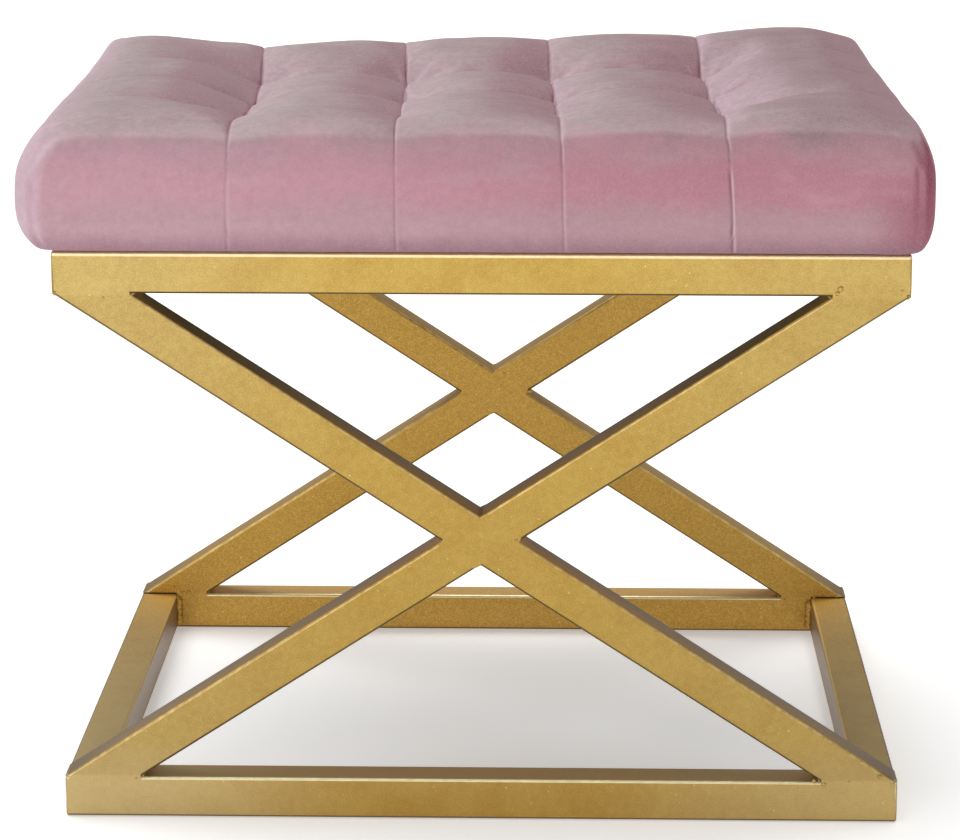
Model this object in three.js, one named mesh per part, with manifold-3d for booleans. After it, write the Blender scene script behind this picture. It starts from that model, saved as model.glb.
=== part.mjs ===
// X-frame stool: two frames of crossed square steel tube, tied into an upper and a lower ring,
// with a blind-tufted velvet seat bolted on from below. Millimetres, +Z up, front towards -Y.
// The origin is on the floor, under the middle of the stool.
import * as THREE from 'three';
import { mergeVertices } from 'three/addons/utils/BufferGeometryUtils.js';
import Module from 'manifold-3d';

const wasm = await Module();
wasm.setup();

// Frame
const frameWidth = 500;
const frameDepth = 422;
const frameHeight = 346;
const tubeSize = 25;
const tubeWall = 1.2;
const tubeCornerRadius = 2.2;
const tubeCornerSteps = 3;
const weldGap = 0.3; // left between tube ends that are cut to meet
const cornerWeldLeg = 4.5;
const cornerWeldSteps = 4;
const groundCornerRadius = 2.5; // outer corners of the stool, where the mitres are ground
const groundCornerSteps = 4;

// Seat stack, from the rails upwards
const restGap = 0.3; // between pieces that rest on each other
const dustCoverThickness = 0.5;
const dustCoverInset = 20; // from the frame's outline
const hemThickness = 2.5; // velvet folded under the board
const hemWidth = 32;
const boardThickness = 12;
const boardOverhang = 1;
const boardCornerRadius = 16;
const coverThickness = 2;
const seatCornerSteps = 5;

// Seat shape
const seatRise = 81; // highest point of the seat above the rails
const seatOverhang = 15; // widest part of the sides, beyond the frame
const seatCornerRadius = 24;
const topTuckIn = 8; // from the widest part in to the top edge
const bottomTuckIn = 12.5; // from the widest part in to the bottom edge
const widestShare = 0.4; // of the side's height, from the top edge down
const edgeDrop = 8; // top edge below the crest
const edgeRoll = 40; // width over which the top rolls down to its edge
const middleSink = 9; // panels between the tufts below the panels along the border
const borderRiseShare = 0.45; // of the border's width, where that sink has gone

// Tufts and seams
const tuftPitch = 98;
const tuftColumns = 4;
const tuftRows = 3;
const tuftDepth = 27;
const columnSeamDepth = 18; // seams from front to rear, halfway between two tufts
const columnEdgeDepth = 3.5; // the same seams at the front and rear edges
const rowSeamDepth = 15; // seams from left to right, halfway between two tufts
const rowEdgeDepth = 0.6; // the same seams at the left and right edges
const sideSeamDepth = 1.2; // on the front and rear sides
const panelPower = 2.6; // how full a panel is between its seams
const sideSeamPower = 5;

// Where the seat's faces are divided: shares of a panel, of the border outside the tufts,
// of the side down to the foam's underside, and of what is left below that
const skinPanelShares = [0.14, 0.5, 0.86];
const skinBorderShares = [0.12, 0.42, 0.79, 0.92];
const skinSideShares = [0.15, 0.5, 1];
const skinUnderShares = [1];
const liningPanelShares = [0.5];
const liningBorderShares = [0.42, 0.79];
const liningSideShares = [0.5, 1];
const liningUnderShares = [1];

// Tufting twine and its toggle under the board
const twineDiameter = 1.8;
const twineClearance = 1.1;
const twineSides = 8;
const knotDiameter = 4.6;
const knotHeight = 1;
const toggleDiameter = 15;
const toggleThickness = 1.2;
const toggleSides = 16;

// Fixings: a flanged bolt from below and a T-nut in the board
const boltDiameter = 6;
const boltClearance = 0.5;
const boltChamfer = 0.6;
const boltFlangeDiameter = 13;
const boltFlangeThickness = 1.4;
const boltHeadDiameter = 10.5;
const boltHeadHeight = 4.6;
const boltHeadRound = 1.4;
const hexKeySize = 4;
const hexKeyDepth = 2.8;
const boltTipDepth = 0.8; // below the T-nut's face
const boltInset = 71; // from the front and rear of the frame, on each side rail
const nutFlangeDiameter = 19;
const nutFlangeThickness = 1.5;
const nutBarrelDiameter = 8;
const nutBarrelLength = 8;
const nutClearance = 0.3;
const fixingSides = 20;
const boltHoleSides = 12;

// One overrun for every cut that goes right through
const overrun = 5;

// Heights of the stack
const innerHeight = frameHeight - 2 * tubeSize;
const dustCoverBottom = frameHeight + restGap;
const hemBottom = dustCoverBottom + dustCoverThickness + restGap;
const hemTop = hemBottom + hemThickness;
const boardBottom = hemTop + restGap;
const boardTop = boardBottom + boardThickness;
const foamBottom = boardTop + restGap;
const seatCrest = frameHeight + seatRise;

// Plan of the seat
const widestHalfWidth = frameWidth / 2 + seatOverhang;
const widestHalfDepth = frameDepth / 2 + seatOverhang;
const boardHalfWidth = frameWidth / 2 + boardOverhang;
const boardHalfDepth = frameDepth / 2 + boardOverhang;
const seamsAcross = seamPlaces(tuftColumns);
const seamsAlong = seamPlaces(tuftRows);

const goldPaint = () => new THREE.MeshStandardMaterial({ color: 0xb8954a, roughness: 0.38, metalness: 0.85 });
const weldPaint = () => new THREE.MeshStandardMaterial({ color: 0xa8863c, roughness: 0.45, metalness: 0.85 });
const velvet = () => new THREE.MeshStandardMaterial({ color: 0xc296a0, roughness: 0.85, metalness: 0 });
const foam = () => new THREE.MeshStandardMaterial({ color: 0xe9dcae, roughness: 0.95, metalness: 0 });
const plywood = () => new THREE.MeshStandardMaterial({ color: 0xc9a878, roughness: 0.75, metalness: 0 });
const dustCloth = () => new THREE.MeshStandardMaterial({ color: 0x1d1d1f, roughness: 0.95, metalness: 0 });
const zincSteel = () => new THREE.MeshStandardMaterial({ color: 0xb9bcc0, roughness: 0.35, metalness: 0.95 });
const twine = () => new THREE.MeshStandardMaterial({ color: 0xe2d8c0, roughness: 0.9, metalness: 0 });
const nylon = () => new THREE.MeshStandardMaterial({ color: 0xe8e6df, roughness: 0.5, metalness: 0 });

// Places of the seams to each side of the middle
function seamPlaces(count) {
  return Array.from({ length: count }, (_, k) => (k - (count - 1) / 2) * tuftPitch);
}

function solidOf(geometry) {
  const plain = geometry.clone();
  plain.deleteAttribute('normal');
  plain.deleteAttribute('uv');
  const merged = mergeVertices(plain);
  const vertProperties = Float32Array.from(merged.attributes.position.array);
  const triVerts = Uint32Array.from(merged.index.array);
  return new wasm.Manifold(new wasm.Mesh({ numProp: 3, vertProperties, triVerts }));
}

function geometryOf(solid) {
  const mesh = solid.getMesh();
  return indexedGeometry(Array.from(mesh.vertProperties), Array.from(mesh.triVerts));
}

function indexedGeometry(coordinates, indices) {
  const geometry = new THREE.BufferGeometry();
  geometry.setAttribute('position', new THREE.Float32BufferAttribute(coordinates, 3));
  geometry.setIndex(indices);
  geometry.computeVertexNormals();
  return geometry;
}

// Geometry less each of the cutters
function cut(geometry, cutters) {
  return geometryOf(cutters.reduce((solid, cutter) => solid.subtract(solidOf(cutter)), solidOf(geometry)));
}

function named(name, geometry, material, x = 0, y = 0, z = 0) {
  const mesh = new THREE.Mesh(geometry, material);
  mesh.name = name;
  mesh.position.set(x, y, z);
  return mesh;
}

// A solid turned about Z from a closed outline of radii and heights
function turned(outline, sides) {
  const points = outline.map(([radius, height]) => new THREE.Vector2(radius, height));
  return new THREE.LatheGeometry(points, sides).rotateX(Math.PI / 2);
}

// A cutter between two heights, its flats the given distance apart
function roundCutter(acrossFlats, x, y, low, high, sides) {
  const radius = acrossFlats / 2 / Math.cos(Math.PI / sides);
  const cutter = new THREE.CylinderGeometry(radius, radius, high - low, sides);
  return cutter.rotateX(Math.PI / 2).translate(x, y, (low + high) / 2);
}

// A flat sheet or board with round corners, between two heights
function roundedSlab(halfWidth, halfDepth, radius, steps, low, high) {
  const shape = new THREE.Shape();
  shape.moveTo(radius - halfWidth, -halfDepth);
  shape.absarc(halfWidth - radius, radius - halfDepth, radius, -Math.PI / 2, 0);
  shape.absarc(halfWidth - radius, halfDepth - radius, radius, 0, Math.PI / 2);
  shape.absarc(radius - halfWidth, halfDepth - radius, radius, Math.PI / 2, Math.PI);
  shape.absarc(radius - halfWidth, radius - halfDepth, radius, Math.PI, 1.5 * Math.PI);
  const options = { depth: high - low, bevelEnabled: false, curveSegments: steps };
  return new THREE.ExtrudeGeometry(shape, options).translate(0, 0, low);
}

// Points round a square tube's section, one list for its outside and one for its bore
function tubeSection(size, radius) {
  const points = [];
  const middle = new THREE.Vector2();
  for (let corner = 0; corner < 4; corner += 1) {
    const turn = (corner * Math.PI) / 2;
    const centre = new THREE.Vector2(size / 2 - radius, size / 2 - radius).rotateAround(middle, turn);
    for (let step = 0; step <= tubeCornerSteps; step += 1) {
      const angle = turn + (step / tubeCornerSteps) * (Math.PI / 2);
      points.push(new THREE.Vector2(Math.cos(angle), Math.sin(angle)).multiplyScalar(radius).add(centre));
    }
  }
  return points;
}

// A solid whose skin runs through loops of points in turn and back to the first
function loopedSolid(loops) {
  const coordinates = [];
  const indices = [];
  const count = loops[0].length;
  loops.forEach((loop) => loop.forEach((point) => coordinates.push(point.x, point.y, point.z)));
  loops.forEach((_, first) => {
    const here = first * count;
    const there = ((first + 1) % loops.length) * count;
    for (let k = 0; k < count; k += 1) {
      const next = (k + 1) % count;
      indices.push(here + k, here + next, there + next, here + k, there + next, there + k);
    }
  });
  return indexedGeometry(coordinates, indices);
}

// A square tube along an axis through a point, each end cut by its own plane
function cutTube(axisPoint, along, across, startPlane, endPlane) {
  const upward = new THREE.Vector3().crossVectors(along, across);
  const section = (points, plane) => points.map((place) => {
    const point = axisPoint.clone().addScaledVector(across, place.x).addScaledVector(upward, place.y);
    return point.addScaledVector(along, -plane.distanceToPoint(point) / plane.normal.dot(along));
  });
  const outside = tubeSection(tubeSize, tubeCornerRadius);
  const bore = tubeSection(tubeSize - 2 * tubeWall, tubeCornerRadius - tubeWall);
  return loopedSolid([
    section(outside, startPlane),
    section(outside, endPlane),
    section(bore, endPlane),
    section(bore, startPlane),
  ]);
}

function planeThrough(point, normal) {
  return new THREE.Plane().setFromNormalAndCoplanarPoint(normal.clone().normalize(), point);
}

// The mitre in a corner of a ring, half a weld gap to the side of the rail that it ends
function mitrePlane(sideX, sideY, railRunsAcross) {
  const corner = new THREE.Vector3((sideX * frameWidth) / 2, (sideY * frameDepth) / 2, 0);
  const normal = new THREE.Vector3(sideX, -sideY, 0).normalize().multiplyScalar(railRunsAcross ? -1 : 1);
  return planeThrough(corner.addScaledVector(normal, weldGap / 2), normal);
}

const acrossAxis = new THREE.Vector3(1, 0, 0);
const depthAxis = new THREE.Vector3(0, 1, 0);
const upAxis = new THREE.Vector3(0, 0, 1);

// A rail of a ring that runs from left to right, at the front or the rear
function crossRail(sideY, height) {
  const axisPoint = new THREE.Vector3(0, sideY * (frameDepth - tubeSize) / 2, height);
  return cutTube(axisPoint, acrossAxis, depthAxis, mitrePlane(-1, sideY, true), mitrePlane(1, sideY, true));
}

// A rail of a ring that runs from front to rear, on the left or the right
function sideRail(sideX, height) {
  const axisPoint = new THREE.Vector3(sideX * (frameWidth - tubeSize) / 2, 0, height);
  return cutTube(axisPoint, depthAxis, acrossAxis, mitrePlane(sideX, -1, false), mitrePlane(sideX, 1, false));
}

// What grinding takes off the stool's outer corners, as cutters from the floor to the top of the frame
function groundCorners() {
  const shape = new THREE.Shape();
  shape.moveTo(overrun, overrun);
  shape.lineTo(overrun, -groundCornerRadius);
  for (let step = 0; step <= groundCornerSteps; step += 1) {
    const angle = (step / groundCornerSteps) * (Math.PI / 2);
    const x = groundCornerRadius * (Math.cos(angle) - 1);
    const y = groundCornerRadius * (Math.sin(angle) - 1);
    shape.lineTo(x, y);
  }
  shape.lineTo(-groundCornerRadius, overrun);
  const options = { depth: frameHeight + 2 * overrun, bevelEnabled: false };
  return [[-1, -1], [1, -1], [-1, 1], [1, 1]].map(([sideX, sideY]) => {
    const cutter = new THREE.ExtrudeGeometry(shape, options);
    cutter.rotateZ(Math.atan2(sideY, sideX) - Math.PI / 4);
    return cutter.translate((sideX * frameWidth) / 2, (sideY * frameDepth) / 2, -overrun);
  });
}

// The three bars of one X. The long bar runs from top left to bottom right, the other two butt on it.
// Each end lies flat on a rail, with the bar's outer edge at the frame's outer corner.
function crossedBars(sideY) {
  const diagonal = Math.hypot(frameWidth, innerHeight);
  const slope = Math.atan2(innerHeight, frameWidth) + Math.asin(tubeSize / diagonal);
  const crossing = new THREE.Vector3(0, sideY * (frameDepth - tubeSize) / 2, frameHeight / 2);
  const falling = new THREE.Vector3(Math.cos(slope), 0, -Math.sin(slope));
  const rising = new THREE.Vector3(Math.cos(slope), 0, Math.sin(slope));
  const offLongBar = new THREE.Vector3(Math.sin(slope), 0, Math.cos(slope));
  const underTopRail = planeThrough(new THREE.Vector3(0, 0, frameHeight - tubeSize), upAxis);
  const onBottomRail = planeThrough(new THREE.Vector3(0, 0, tubeSize), upAxis);
  const reach = tubeSize / 2 + weldGap;
  const aboveLongBar = planeThrough(crossing.clone().addScaledVector(offLongBar, reach), offLongBar);
  const belowLongBar = planeThrough(crossing.clone().addScaledVector(offLongBar, -reach), offLongBar);
  return {
    long: cutTube(crossing, falling, depthAxis, underTopRail, onBottomRail),
    upper: cutTube(crossing, rising, depthAxis, aboveLongBar, underTopRail),
    lower: cutTube(crossing, rising, depthAxis, onBottomRail, belowLongBar),
  };
}

// A weld bead in the inner corner of a ring, between the round edges of the rails, its face a little convex
function cornerWeld(sideX, sideY, railBottom) {
  const shape = new THREE.Shape();
  shape.moveTo(0, 0);
  for (let step = 0; step <= cornerWeldSteps; step += 1) {
    const angle = (step / cornerWeldSteps) * (Math.PI / 2);
    const radius = cornerWeldLeg / (Math.cos(angle) + Math.sin(angle)) ** 0.5;
    shape.lineTo(radius * Math.cos(angle), radius * Math.sin(angle));
  }
  const height = tubeSize - 2 * tubeCornerRadius;
  const bead = new THREE.ExtrudeGeometry(shape, { depth: height, bevelEnabled: false });
  bead.rotateZ(Math.atan2(-sideY, -sideX) - Math.PI / 4);
  const cornerX = sideX * (frameWidth / 2 - tubeSize);
  const cornerY = sideY * (frameDepth / 2 - tubeSize);
  return bead.translate(cornerX, cornerY, railBottom + tubeCornerRadius);
}

// How far into a seam's valley a place is, from 1 on the seam to 0 in the middle of a panel
function valley(place, seams, power) {
  const nearest = Math.min(...seams.map((seam) => Math.abs(place - seam)));
  return Math.max(0, 1 - nearest / (tuftPitch / 2)) ** power;
}

// How far out in the border a place is, from 0 on the outermost seam to 1 at the top edge
function borderShare(place, seams, half) {
  const outermost = seams[seams.length - 1];
  return Math.min(1, Math.max(0, (Math.abs(place) - outermost) / (half - outermost)));
}

function rollDown(place, half) {
  return edgeDrop * Math.max(0, 1 - (half - Math.abs(place)) / edgeRoll) ** 2;
}

// Height of the seat's top at a place inside its top edge
function seatTop(x, y) {
  const halfWidth = widestHalfWidth - topTuckIn;
  const halfDepth = widestHalfDepth - topTuckIn;
  const acrossValley = valley(x, seamsAcross, panelPower);
  const alongValley = valley(y, seamsAlong, panelPower);
  const outX = borderShare(x, seamsAcross, halfWidth);
  const outY = borderShare(y, seamsAlong, halfDepth);
  const columnDepth = THREE.MathUtils.lerp(columnEdgeDepth, columnSeamDepth, (1 - outY) ** 2);
  const rowDepth = THREE.MathUtils.lerp(rowEdgeDepth, rowSeamDepth, (1 - outX) ** 2);
  const sink = middleSink * Math.max(0, 1 - outX / borderRiseShare) * Math.max(0, 1 - outY / borderRiseShare);
  return seatCrest
    - rollDown(x, halfWidth)
    - rollDown(y, halfDepth)
    - columnDepth * acrossValley * (1 - alongValley)
    - rowDepth * alongValley * (1 - acrossValley)
    - tuftDepth * acrossValley * alongValley
    - sink * (1 - acrossValley) * (1 - alongValley);
}

// How far inside the widest outline the side lies, from the top edge (0) to the bottom edge (1)
function sideTuckIn(downShare) {
  if (downShare < widestShare) return topTuckIn * (1 - downShare / widestShare) ** 2;
  return bottomTuckIn * ((downShare - widestShare) / (1 - widestShare)) ** 3;
}

// Places of the divisions along one direction, from edge to edge
function stations(seams, half, panelShares, borderShares) {
  const places = [];
  seams.slice(1).forEach((seam, k) => {
    places.push(...panelShares.map((share) => THREE.MathUtils.lerp(seams[k], seam, share)));
  });
  const outermost = seams[seams.length - 1];
  const border = [...borderShares, 1].map((share) => THREE.MathUtils.lerp(outermost, half, share));
  return [...places, ...seams, ...border, ...border.map((place) => -place)].sort((a, b) => a - b);
}

// A place in a rectangle moved so that the rectangle's corners become round
function roundedPlace(x, y, halfWidth, halfDepth, radius) {
  const pastX = Math.abs(x) - (halfWidth - radius);
  const pastY = Math.abs(y) - (halfDepth - radius);
  if (pastX <= 0 || pastY <= 0) return [x, y];
  const squeeze = Math.max(pastX, pastY) / Math.hypot(pastX, pastY);
  return [
    Math.sign(x) * (halfWidth - radius + pastX * squeeze),
    Math.sign(y) * (halfDepth - radius + pastY * squeeze),
  ];
}

// The seat's closed form, a given distance inside its outer face, down to a flat bottom
function seatForm(inset, bottom, panelShares, borderShares, sideShares, underShares) {
  const halfWidth = widestHalfWidth - topTuckIn - inset;
  const halfDepth = widestHalfDepth - topTuckIn - inset;
  const radius = seatCornerRadius - topTuckIn - inset;
  const columns = stations(seamsAcross, halfWidth, panelShares, borderShares);
  const rows = stations(seamsAlong, halfDepth, panelShares, borderShares);
  const coordinates = [];
  const indices = [];
  const quad = (a, b, c, d, alternate) => {
    if (alternate) indices.push(a, b, d, b, c, d);
    else indices.push(a, b, c, a, c, d);
  };
  const lastColumn = columns.length - 1;
  const lastRow = rows.length - 1;
  const at = (column, row) => row * columns.length + column;
  // A place on the side, drawn in along the seams, from the top edge (0) to the bottom edge (1)
  const sidePlace = (column, row, downShare) => {
    const onFrontOrRear = row === 0 || row === lastRow;
    const seam = onFrontOrRear ? valley(columns[column], seamsAcross, sideSeamPower) : 0;
    const grow = topTuckIn - sideTuckIn(downShare) - sideSeamDepth * seam * (1 - downShare ** 2);
    const x = columns[column] * (1 + grow / halfWidth);
    const y = rows[row] * (1 + grow / halfDepth);
    return roundedPlace(x, y, halfWidth + grow, halfDepth + grow, radius + grow);
  };
  rows.forEach((y, row) => columns.forEach((x, column) => {
    const inside = column > 0 && row > 0 && column < lastColumn && row < lastRow;
    const [placeX, placeY] = inside
      ? roundedPlace(x, y, halfWidth, halfDepth, radius)
      : sidePlace(column, row, 0);
    coordinates.push(placeX, placeY, seatTop(x, y) - inset);
  }));
  for (let row = 0; row < rows.length - 1; row += 1) {
    for (let column = 0; column < columns.length - 1; column += 1) {
      const middle = (columns[column] + columns[column + 1]) * (rows[row] + rows[row + 1]);
      quad(at(column, row), at(column + 1, row), at(column + 1, row + 1), at(column, row + 1), middle < 0);
    }
  }
  const edge = [
    ...columns.slice(0, -1).map((_, column) => [column, 0]),
    ...rows.slice(0, -1).map((_, row) => [lastColumn, row]),
    ...columns.slice(1).map((_, column) => [lastColumn - column, lastRow]),
    ...rows.slice(1).map((_, row) => [0, lastRow - row]),
  ];
  let upper = edge.map(([column, row]) => at(column, row));
  const levels = [
    ...sideShares.map((share) => (edgeHeight) => THREE.MathUtils.lerp(edgeHeight - inset, foamBottom, share)),
    ...underShares.map((share) => () => THREE.MathUtils.lerp(foamBottom, bottom, share)),
  ];
  levels.forEach((heightUnder) => {
    const first = coordinates.length / 3;
    edge.forEach(([column, row]) => {
      const edgeHeight = seatTop(columns[column], rows[row]);
      const height = heightUnder(edgeHeight);
      const downShare = (edgeHeight - height) / (edgeHeight - hemBottom);
      coordinates.push(...sidePlace(column, row, downShare), height);
    });
    const lower = edge.map((_, k) => first + k);
    edge.forEach((_, k) => {
      const next = (k + 1) % edge.length;
      quad(lower[k], lower[next], upper[next], upper[k], k % 2 === 0);
    });
    upper = lower;
  });
  const centre = coordinates.length / 3;
  coordinates.push(0, 0, bottom);
  upper.forEach((corner, k) => indices.push(centre, upper[(k + 1) % upper.length], corner));
  return indexedGeometry(coordinates, indices);
}

// Where the tufts and the bolts are
const tufts = seamsAlong.flatMap((y) => seamsAcross.map((x) => [x, y]));
const boltX = (frameWidth - tubeSize) / 2;
const boltY = frameDepth / 2 - boltInset;
const boltPlaces = [
  ['front_left', -boltX, -boltY],
  ['front_right', boltX, -boltY],
  ['rear_left', -boltX, boltY],
  ['rear_right', boltX, boltY],
];

function boltCutters(diameter, low, high) {
  return boltPlaces.map(([, x, y]) => roundCutter(diameter, x, y, low, high, boltHoleSides));
}

function makeFrame() {
  const frame = new THREE.Group();
  const bottomAxis = tubeSize / 2;
  const topAxis = frameHeight - tubeSize / 2;
  const corners = groundCorners();
  const ground = (name, geometry, holes = []) => named(name, cut(geometry, [...corners, ...holes]), goldPaint());
  [['front', -1], ['rear', 1]].forEach(([place, sideY]) => {
    const bars = crossedBars(sideY);
    frame.add(
      ground(`${place}_top_rail`, crossRail(sideY, topAxis)),
      ground(`${place}_bottom_rail`, crossRail(sideY, bottomAxis)),
      ground(`${place}_long_diagonal`, bars.long),
      ground(`${place}_upper_half_diagonal`, bars.upper),
      ground(`${place}_lower_half_diagonal`, bars.lower),
    );
  });
  const boltHole = boltDiameter + 2 * boltClearance;
  const holeCutters = boltCutters(boltHole, frameHeight - tubeSize - overrun, frameHeight + overrun);
  [['left', -1], ['right', 1]].forEach(([place, sideX]) => {
    frame.add(
      ground(`${place}_top_rail`, sideRail(sideX, topAxis), holeCutters),
      ground(`${place}_bottom_rail`, sideRail(sideX, bottomAxis)),
    );
    [['front', -1], ['rear', 1]].forEach(([end, sideY]) => {
      const topWeld = cornerWeld(sideX, sideY, frameHeight - tubeSize);
      frame.add(
        named(`${end}_${place}_top_weld`, topWeld, weldPaint()),
        named(`${end}_${place}_bottom_weld`, cornerWeld(sideX, sideY, 0), weldPaint()),
      );
    });
  });
  return frame;
}

function makeBoard() {
  const board = roundedSlab(
    boardHalfWidth,
    boardHalfDepth,
    boardCornerRadius,
    seatCornerSteps,
    boardBottom,
    boardTop,
  );
  const low = boardBottom - overrun;
  const high = boardTop + overrun;
  const nutSeat = boardTop - nutFlangeThickness - nutClearance;
  return cut(board, [
    ...tufts.map(([x, y]) => roundCutter(twineDiameter + 2 * twineClearance, x, y, low, high, twineSides)),
    ...boltCutters(nutBarrelDiameter + 2 * nutClearance, low, high),
    ...boltCutters(nutFlangeDiameter + 2 * nutClearance, nutSeat, high),
  ]);
}

function makeFoam() {
  const inset = coverThickness + restGap;
  const block = seatForm(inset, foamBottom, liningPanelShares, liningBorderShares, liningSideShares, []);
  const holeSize = twineDiameter + 2 * twineClearance;
  return cut(block, tufts.map(([x, y]) => (
    roundCutter(holeSize, x, y, foamBottom - overrun, seatCrest + overrun, twineSides)
  )));
}

// The cover is a skin over the foam and the board, open underneath inside its hem
function makeCover() {
  const skin = seatForm(0, hemBottom, skinPanelShares, skinBorderShares, skinSideShares, skinUnderShares);
  const lining = seatForm(
    coverThickness,
    hemTop,
    liningPanelShares,
    liningBorderShares,
    liningSideShares,
    liningUnderShares,
  );
  const opening = roundedSlab(
    boardHalfWidth - hemWidth,
    boardHalfDepth - hemWidth,
    boardCornerRadius,
    seatCornerSteps,
    hemBottom - overrun,
    hemTop + overrun,
  );
  const boltHole = boltDiameter + 2 * boltClearance;
  return cut(skin, [lining, opening, ...boltCutters(boltHole, hemBottom - overrun, hemTop + restGap)]);
}

function makeDustCover() {
  return roundedSlab(
    frameWidth / 2 - dustCoverInset,
    frameDepth / 2 - dustCoverInset,
    boardCornerRadius,
    seatCornerSteps,
    dustCoverBottom,
    dustCoverBottom + dustCoverThickness,
  );
}

// The bolt, from its bearing face at zero height
function makeBolt(length) {
  const body = turned([
    [0, -boltHeadHeight],
    [boltHeadDiameter / 2 - boltHeadRound, -boltHeadHeight],
    [boltHeadDiameter / 2, boltHeadRound - boltHeadHeight],
    [boltHeadDiameter / 2, -boltFlangeThickness],
    [boltFlangeDiameter / 2, -boltFlangeThickness],
    [boltFlangeDiameter / 2, 0],
    [boltDiameter / 2, 0],
    [boltDiameter / 2, length - boltChamfer],
    [boltDiameter / 2 - boltChamfer, length],
    [0, length],
  ], fixingSides);
  const keyTop = hexKeyDepth - boltHeadHeight;
  return cut(body, [roundCutter(hexKeySize, 0, 0, -boltHeadHeight - overrun, keyTop, 6)]);
}

// The T-nut, from the underside of its flange at zero height
function makeNut() {
  const bore = boltDiameter / 2 + nutClearance;
  return turned([
    [bore, -nutBarrelLength],
    [nutBarrelDiameter / 2, -nutBarrelLength],
    [nutBarrelDiameter / 2, 0],
    [nutFlangeDiameter / 2, 0],
    [nutFlangeDiameter / 2, nutFlangeThickness],
    [bore, nutFlangeThickness],
    [bore, -nutBarrelLength],
  ], fixingSides);
}

// A twine from its knot under the toggle up to the cover, with the knot's underside at zero height
function makeTwine(length) {
  return turned([
    [0, 0],
    [knotDiameter / 2, 0],
    [knotDiameter / 2, knotHeight],
    [twineDiameter / 2, knotHeight],
    [twineDiameter / 2, length],
    [0, length],
  ], twineSides);
}

function makeToggle() {
  const bore = twineDiameter / 2 + restGap;
  return turned([
    [bore, 0],
    [toggleDiameter / 2, 0],
    [toggleDiameter / 2, toggleThickness],
    [bore, toggleThickness],
    [bore, 0],
  ], toggleSides);
}

function makeSeat() {
  const seat = new THREE.Group();
  seat.add(
    named('dust_cover', makeDustCover(), dustCloth()),
    named('seat_board', makeBoard(), plywood()),
    named('foam_block', makeFoam(), foam()),
    named('velvet_cover', makeCover(), velvet()),
  );
  const toggleBottom = boardBottom - restGap - toggleThickness;
  const knotBottom = toggleBottom - restGap - knotHeight;
  const twineTop = seatTop(...tufts[0]) - coverThickness - restGap;
  const oneTwine = makeTwine(twineTop - knotBottom);
  const oneToggle = makeToggle();
  tufts.forEach(([x, y], k) => {
    const number = String(k + 1).padStart(2, '0');
    seat.add(
      named(`tuft_twine_${number}`, oneTwine, twine(), x, y, knotBottom),
      named(`twine_toggle_${number}`, oneToggle, nylon(), x, y, toggleBottom),
    );
  });
  const nutUnderside = boardTop - nutFlangeThickness - nutClearance / 2;
  const boltSeat = frameHeight - tubeSize - restGap;
  const boltTip = nutUnderside + nutFlangeThickness - boltTipDepth;
  const oneBolt = makeBolt(boltTip - boltSeat);
  const oneNut = makeNut();
  boltPlaces.forEach(([place, x, y]) => {
    seat.add(
      named(`${place}_seat_bolt`, oneBolt, zincSteel(), x, y, boltSeat),
      named(`${place}_t_nut`, oneNut, zincSteel(), x, y, nutUnderside),
    );
  });
  return seat;
}

const stool = new THREE.Group();
stool.add(makeFrame(), makeSeat());

export default stool;
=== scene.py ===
# %% [markdown]
# # A stool on two crossed frames
# This lesson dresses a finished steel and timber model in Blender. The model arrives as a fixed
# frame: every tube, bolt and board already has its size and place, in metres, with +Z up and the
# front of the stool towards -Y. Nothing in it is moved. What is added is what the model leaves out:
# the ground welds, the stuffed velvet seat, the cloth underneath and the finish of every surface.

# %% Load the model
import math
import bmesh
import bpy
import numpy as np
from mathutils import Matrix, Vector, noise


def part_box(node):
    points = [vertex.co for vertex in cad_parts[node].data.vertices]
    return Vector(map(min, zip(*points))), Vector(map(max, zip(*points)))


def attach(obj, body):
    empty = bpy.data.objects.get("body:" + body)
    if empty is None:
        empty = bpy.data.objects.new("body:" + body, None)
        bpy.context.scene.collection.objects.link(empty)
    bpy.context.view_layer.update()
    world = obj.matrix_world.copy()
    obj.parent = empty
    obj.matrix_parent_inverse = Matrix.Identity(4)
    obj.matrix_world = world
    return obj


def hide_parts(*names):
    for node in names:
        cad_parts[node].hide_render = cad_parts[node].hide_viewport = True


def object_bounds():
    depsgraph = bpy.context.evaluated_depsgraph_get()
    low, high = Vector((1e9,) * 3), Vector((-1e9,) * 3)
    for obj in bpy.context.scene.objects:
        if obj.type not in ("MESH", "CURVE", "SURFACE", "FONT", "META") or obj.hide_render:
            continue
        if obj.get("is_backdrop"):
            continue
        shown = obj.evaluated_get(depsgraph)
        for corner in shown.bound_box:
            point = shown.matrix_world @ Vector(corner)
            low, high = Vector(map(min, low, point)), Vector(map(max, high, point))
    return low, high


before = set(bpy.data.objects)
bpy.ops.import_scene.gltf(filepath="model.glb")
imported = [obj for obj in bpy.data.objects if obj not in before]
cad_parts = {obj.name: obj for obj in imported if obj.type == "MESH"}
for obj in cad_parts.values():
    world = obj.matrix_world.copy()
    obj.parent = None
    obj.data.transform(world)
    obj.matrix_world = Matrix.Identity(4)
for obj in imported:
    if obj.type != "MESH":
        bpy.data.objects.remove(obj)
cad_low, cad_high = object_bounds()
MM = 0.001
print("nodes:", len(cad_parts), "box in mm:", [round(side / MM, 1) for side in cad_high - cad_low])

# %% [markdown]
# ## The camera
# A product picture is taken from a few metres away with a long lens, so that the far frame is only
# a little smaller than the near one. The camera stands in front, a little right of the middle and
# 0.7 m up, and looks down at the stool. The focal length is given in pixels of a picture 960 wide,
# because that is how it is measured, and a lens on a 36 mm sensor follows from it.

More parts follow.
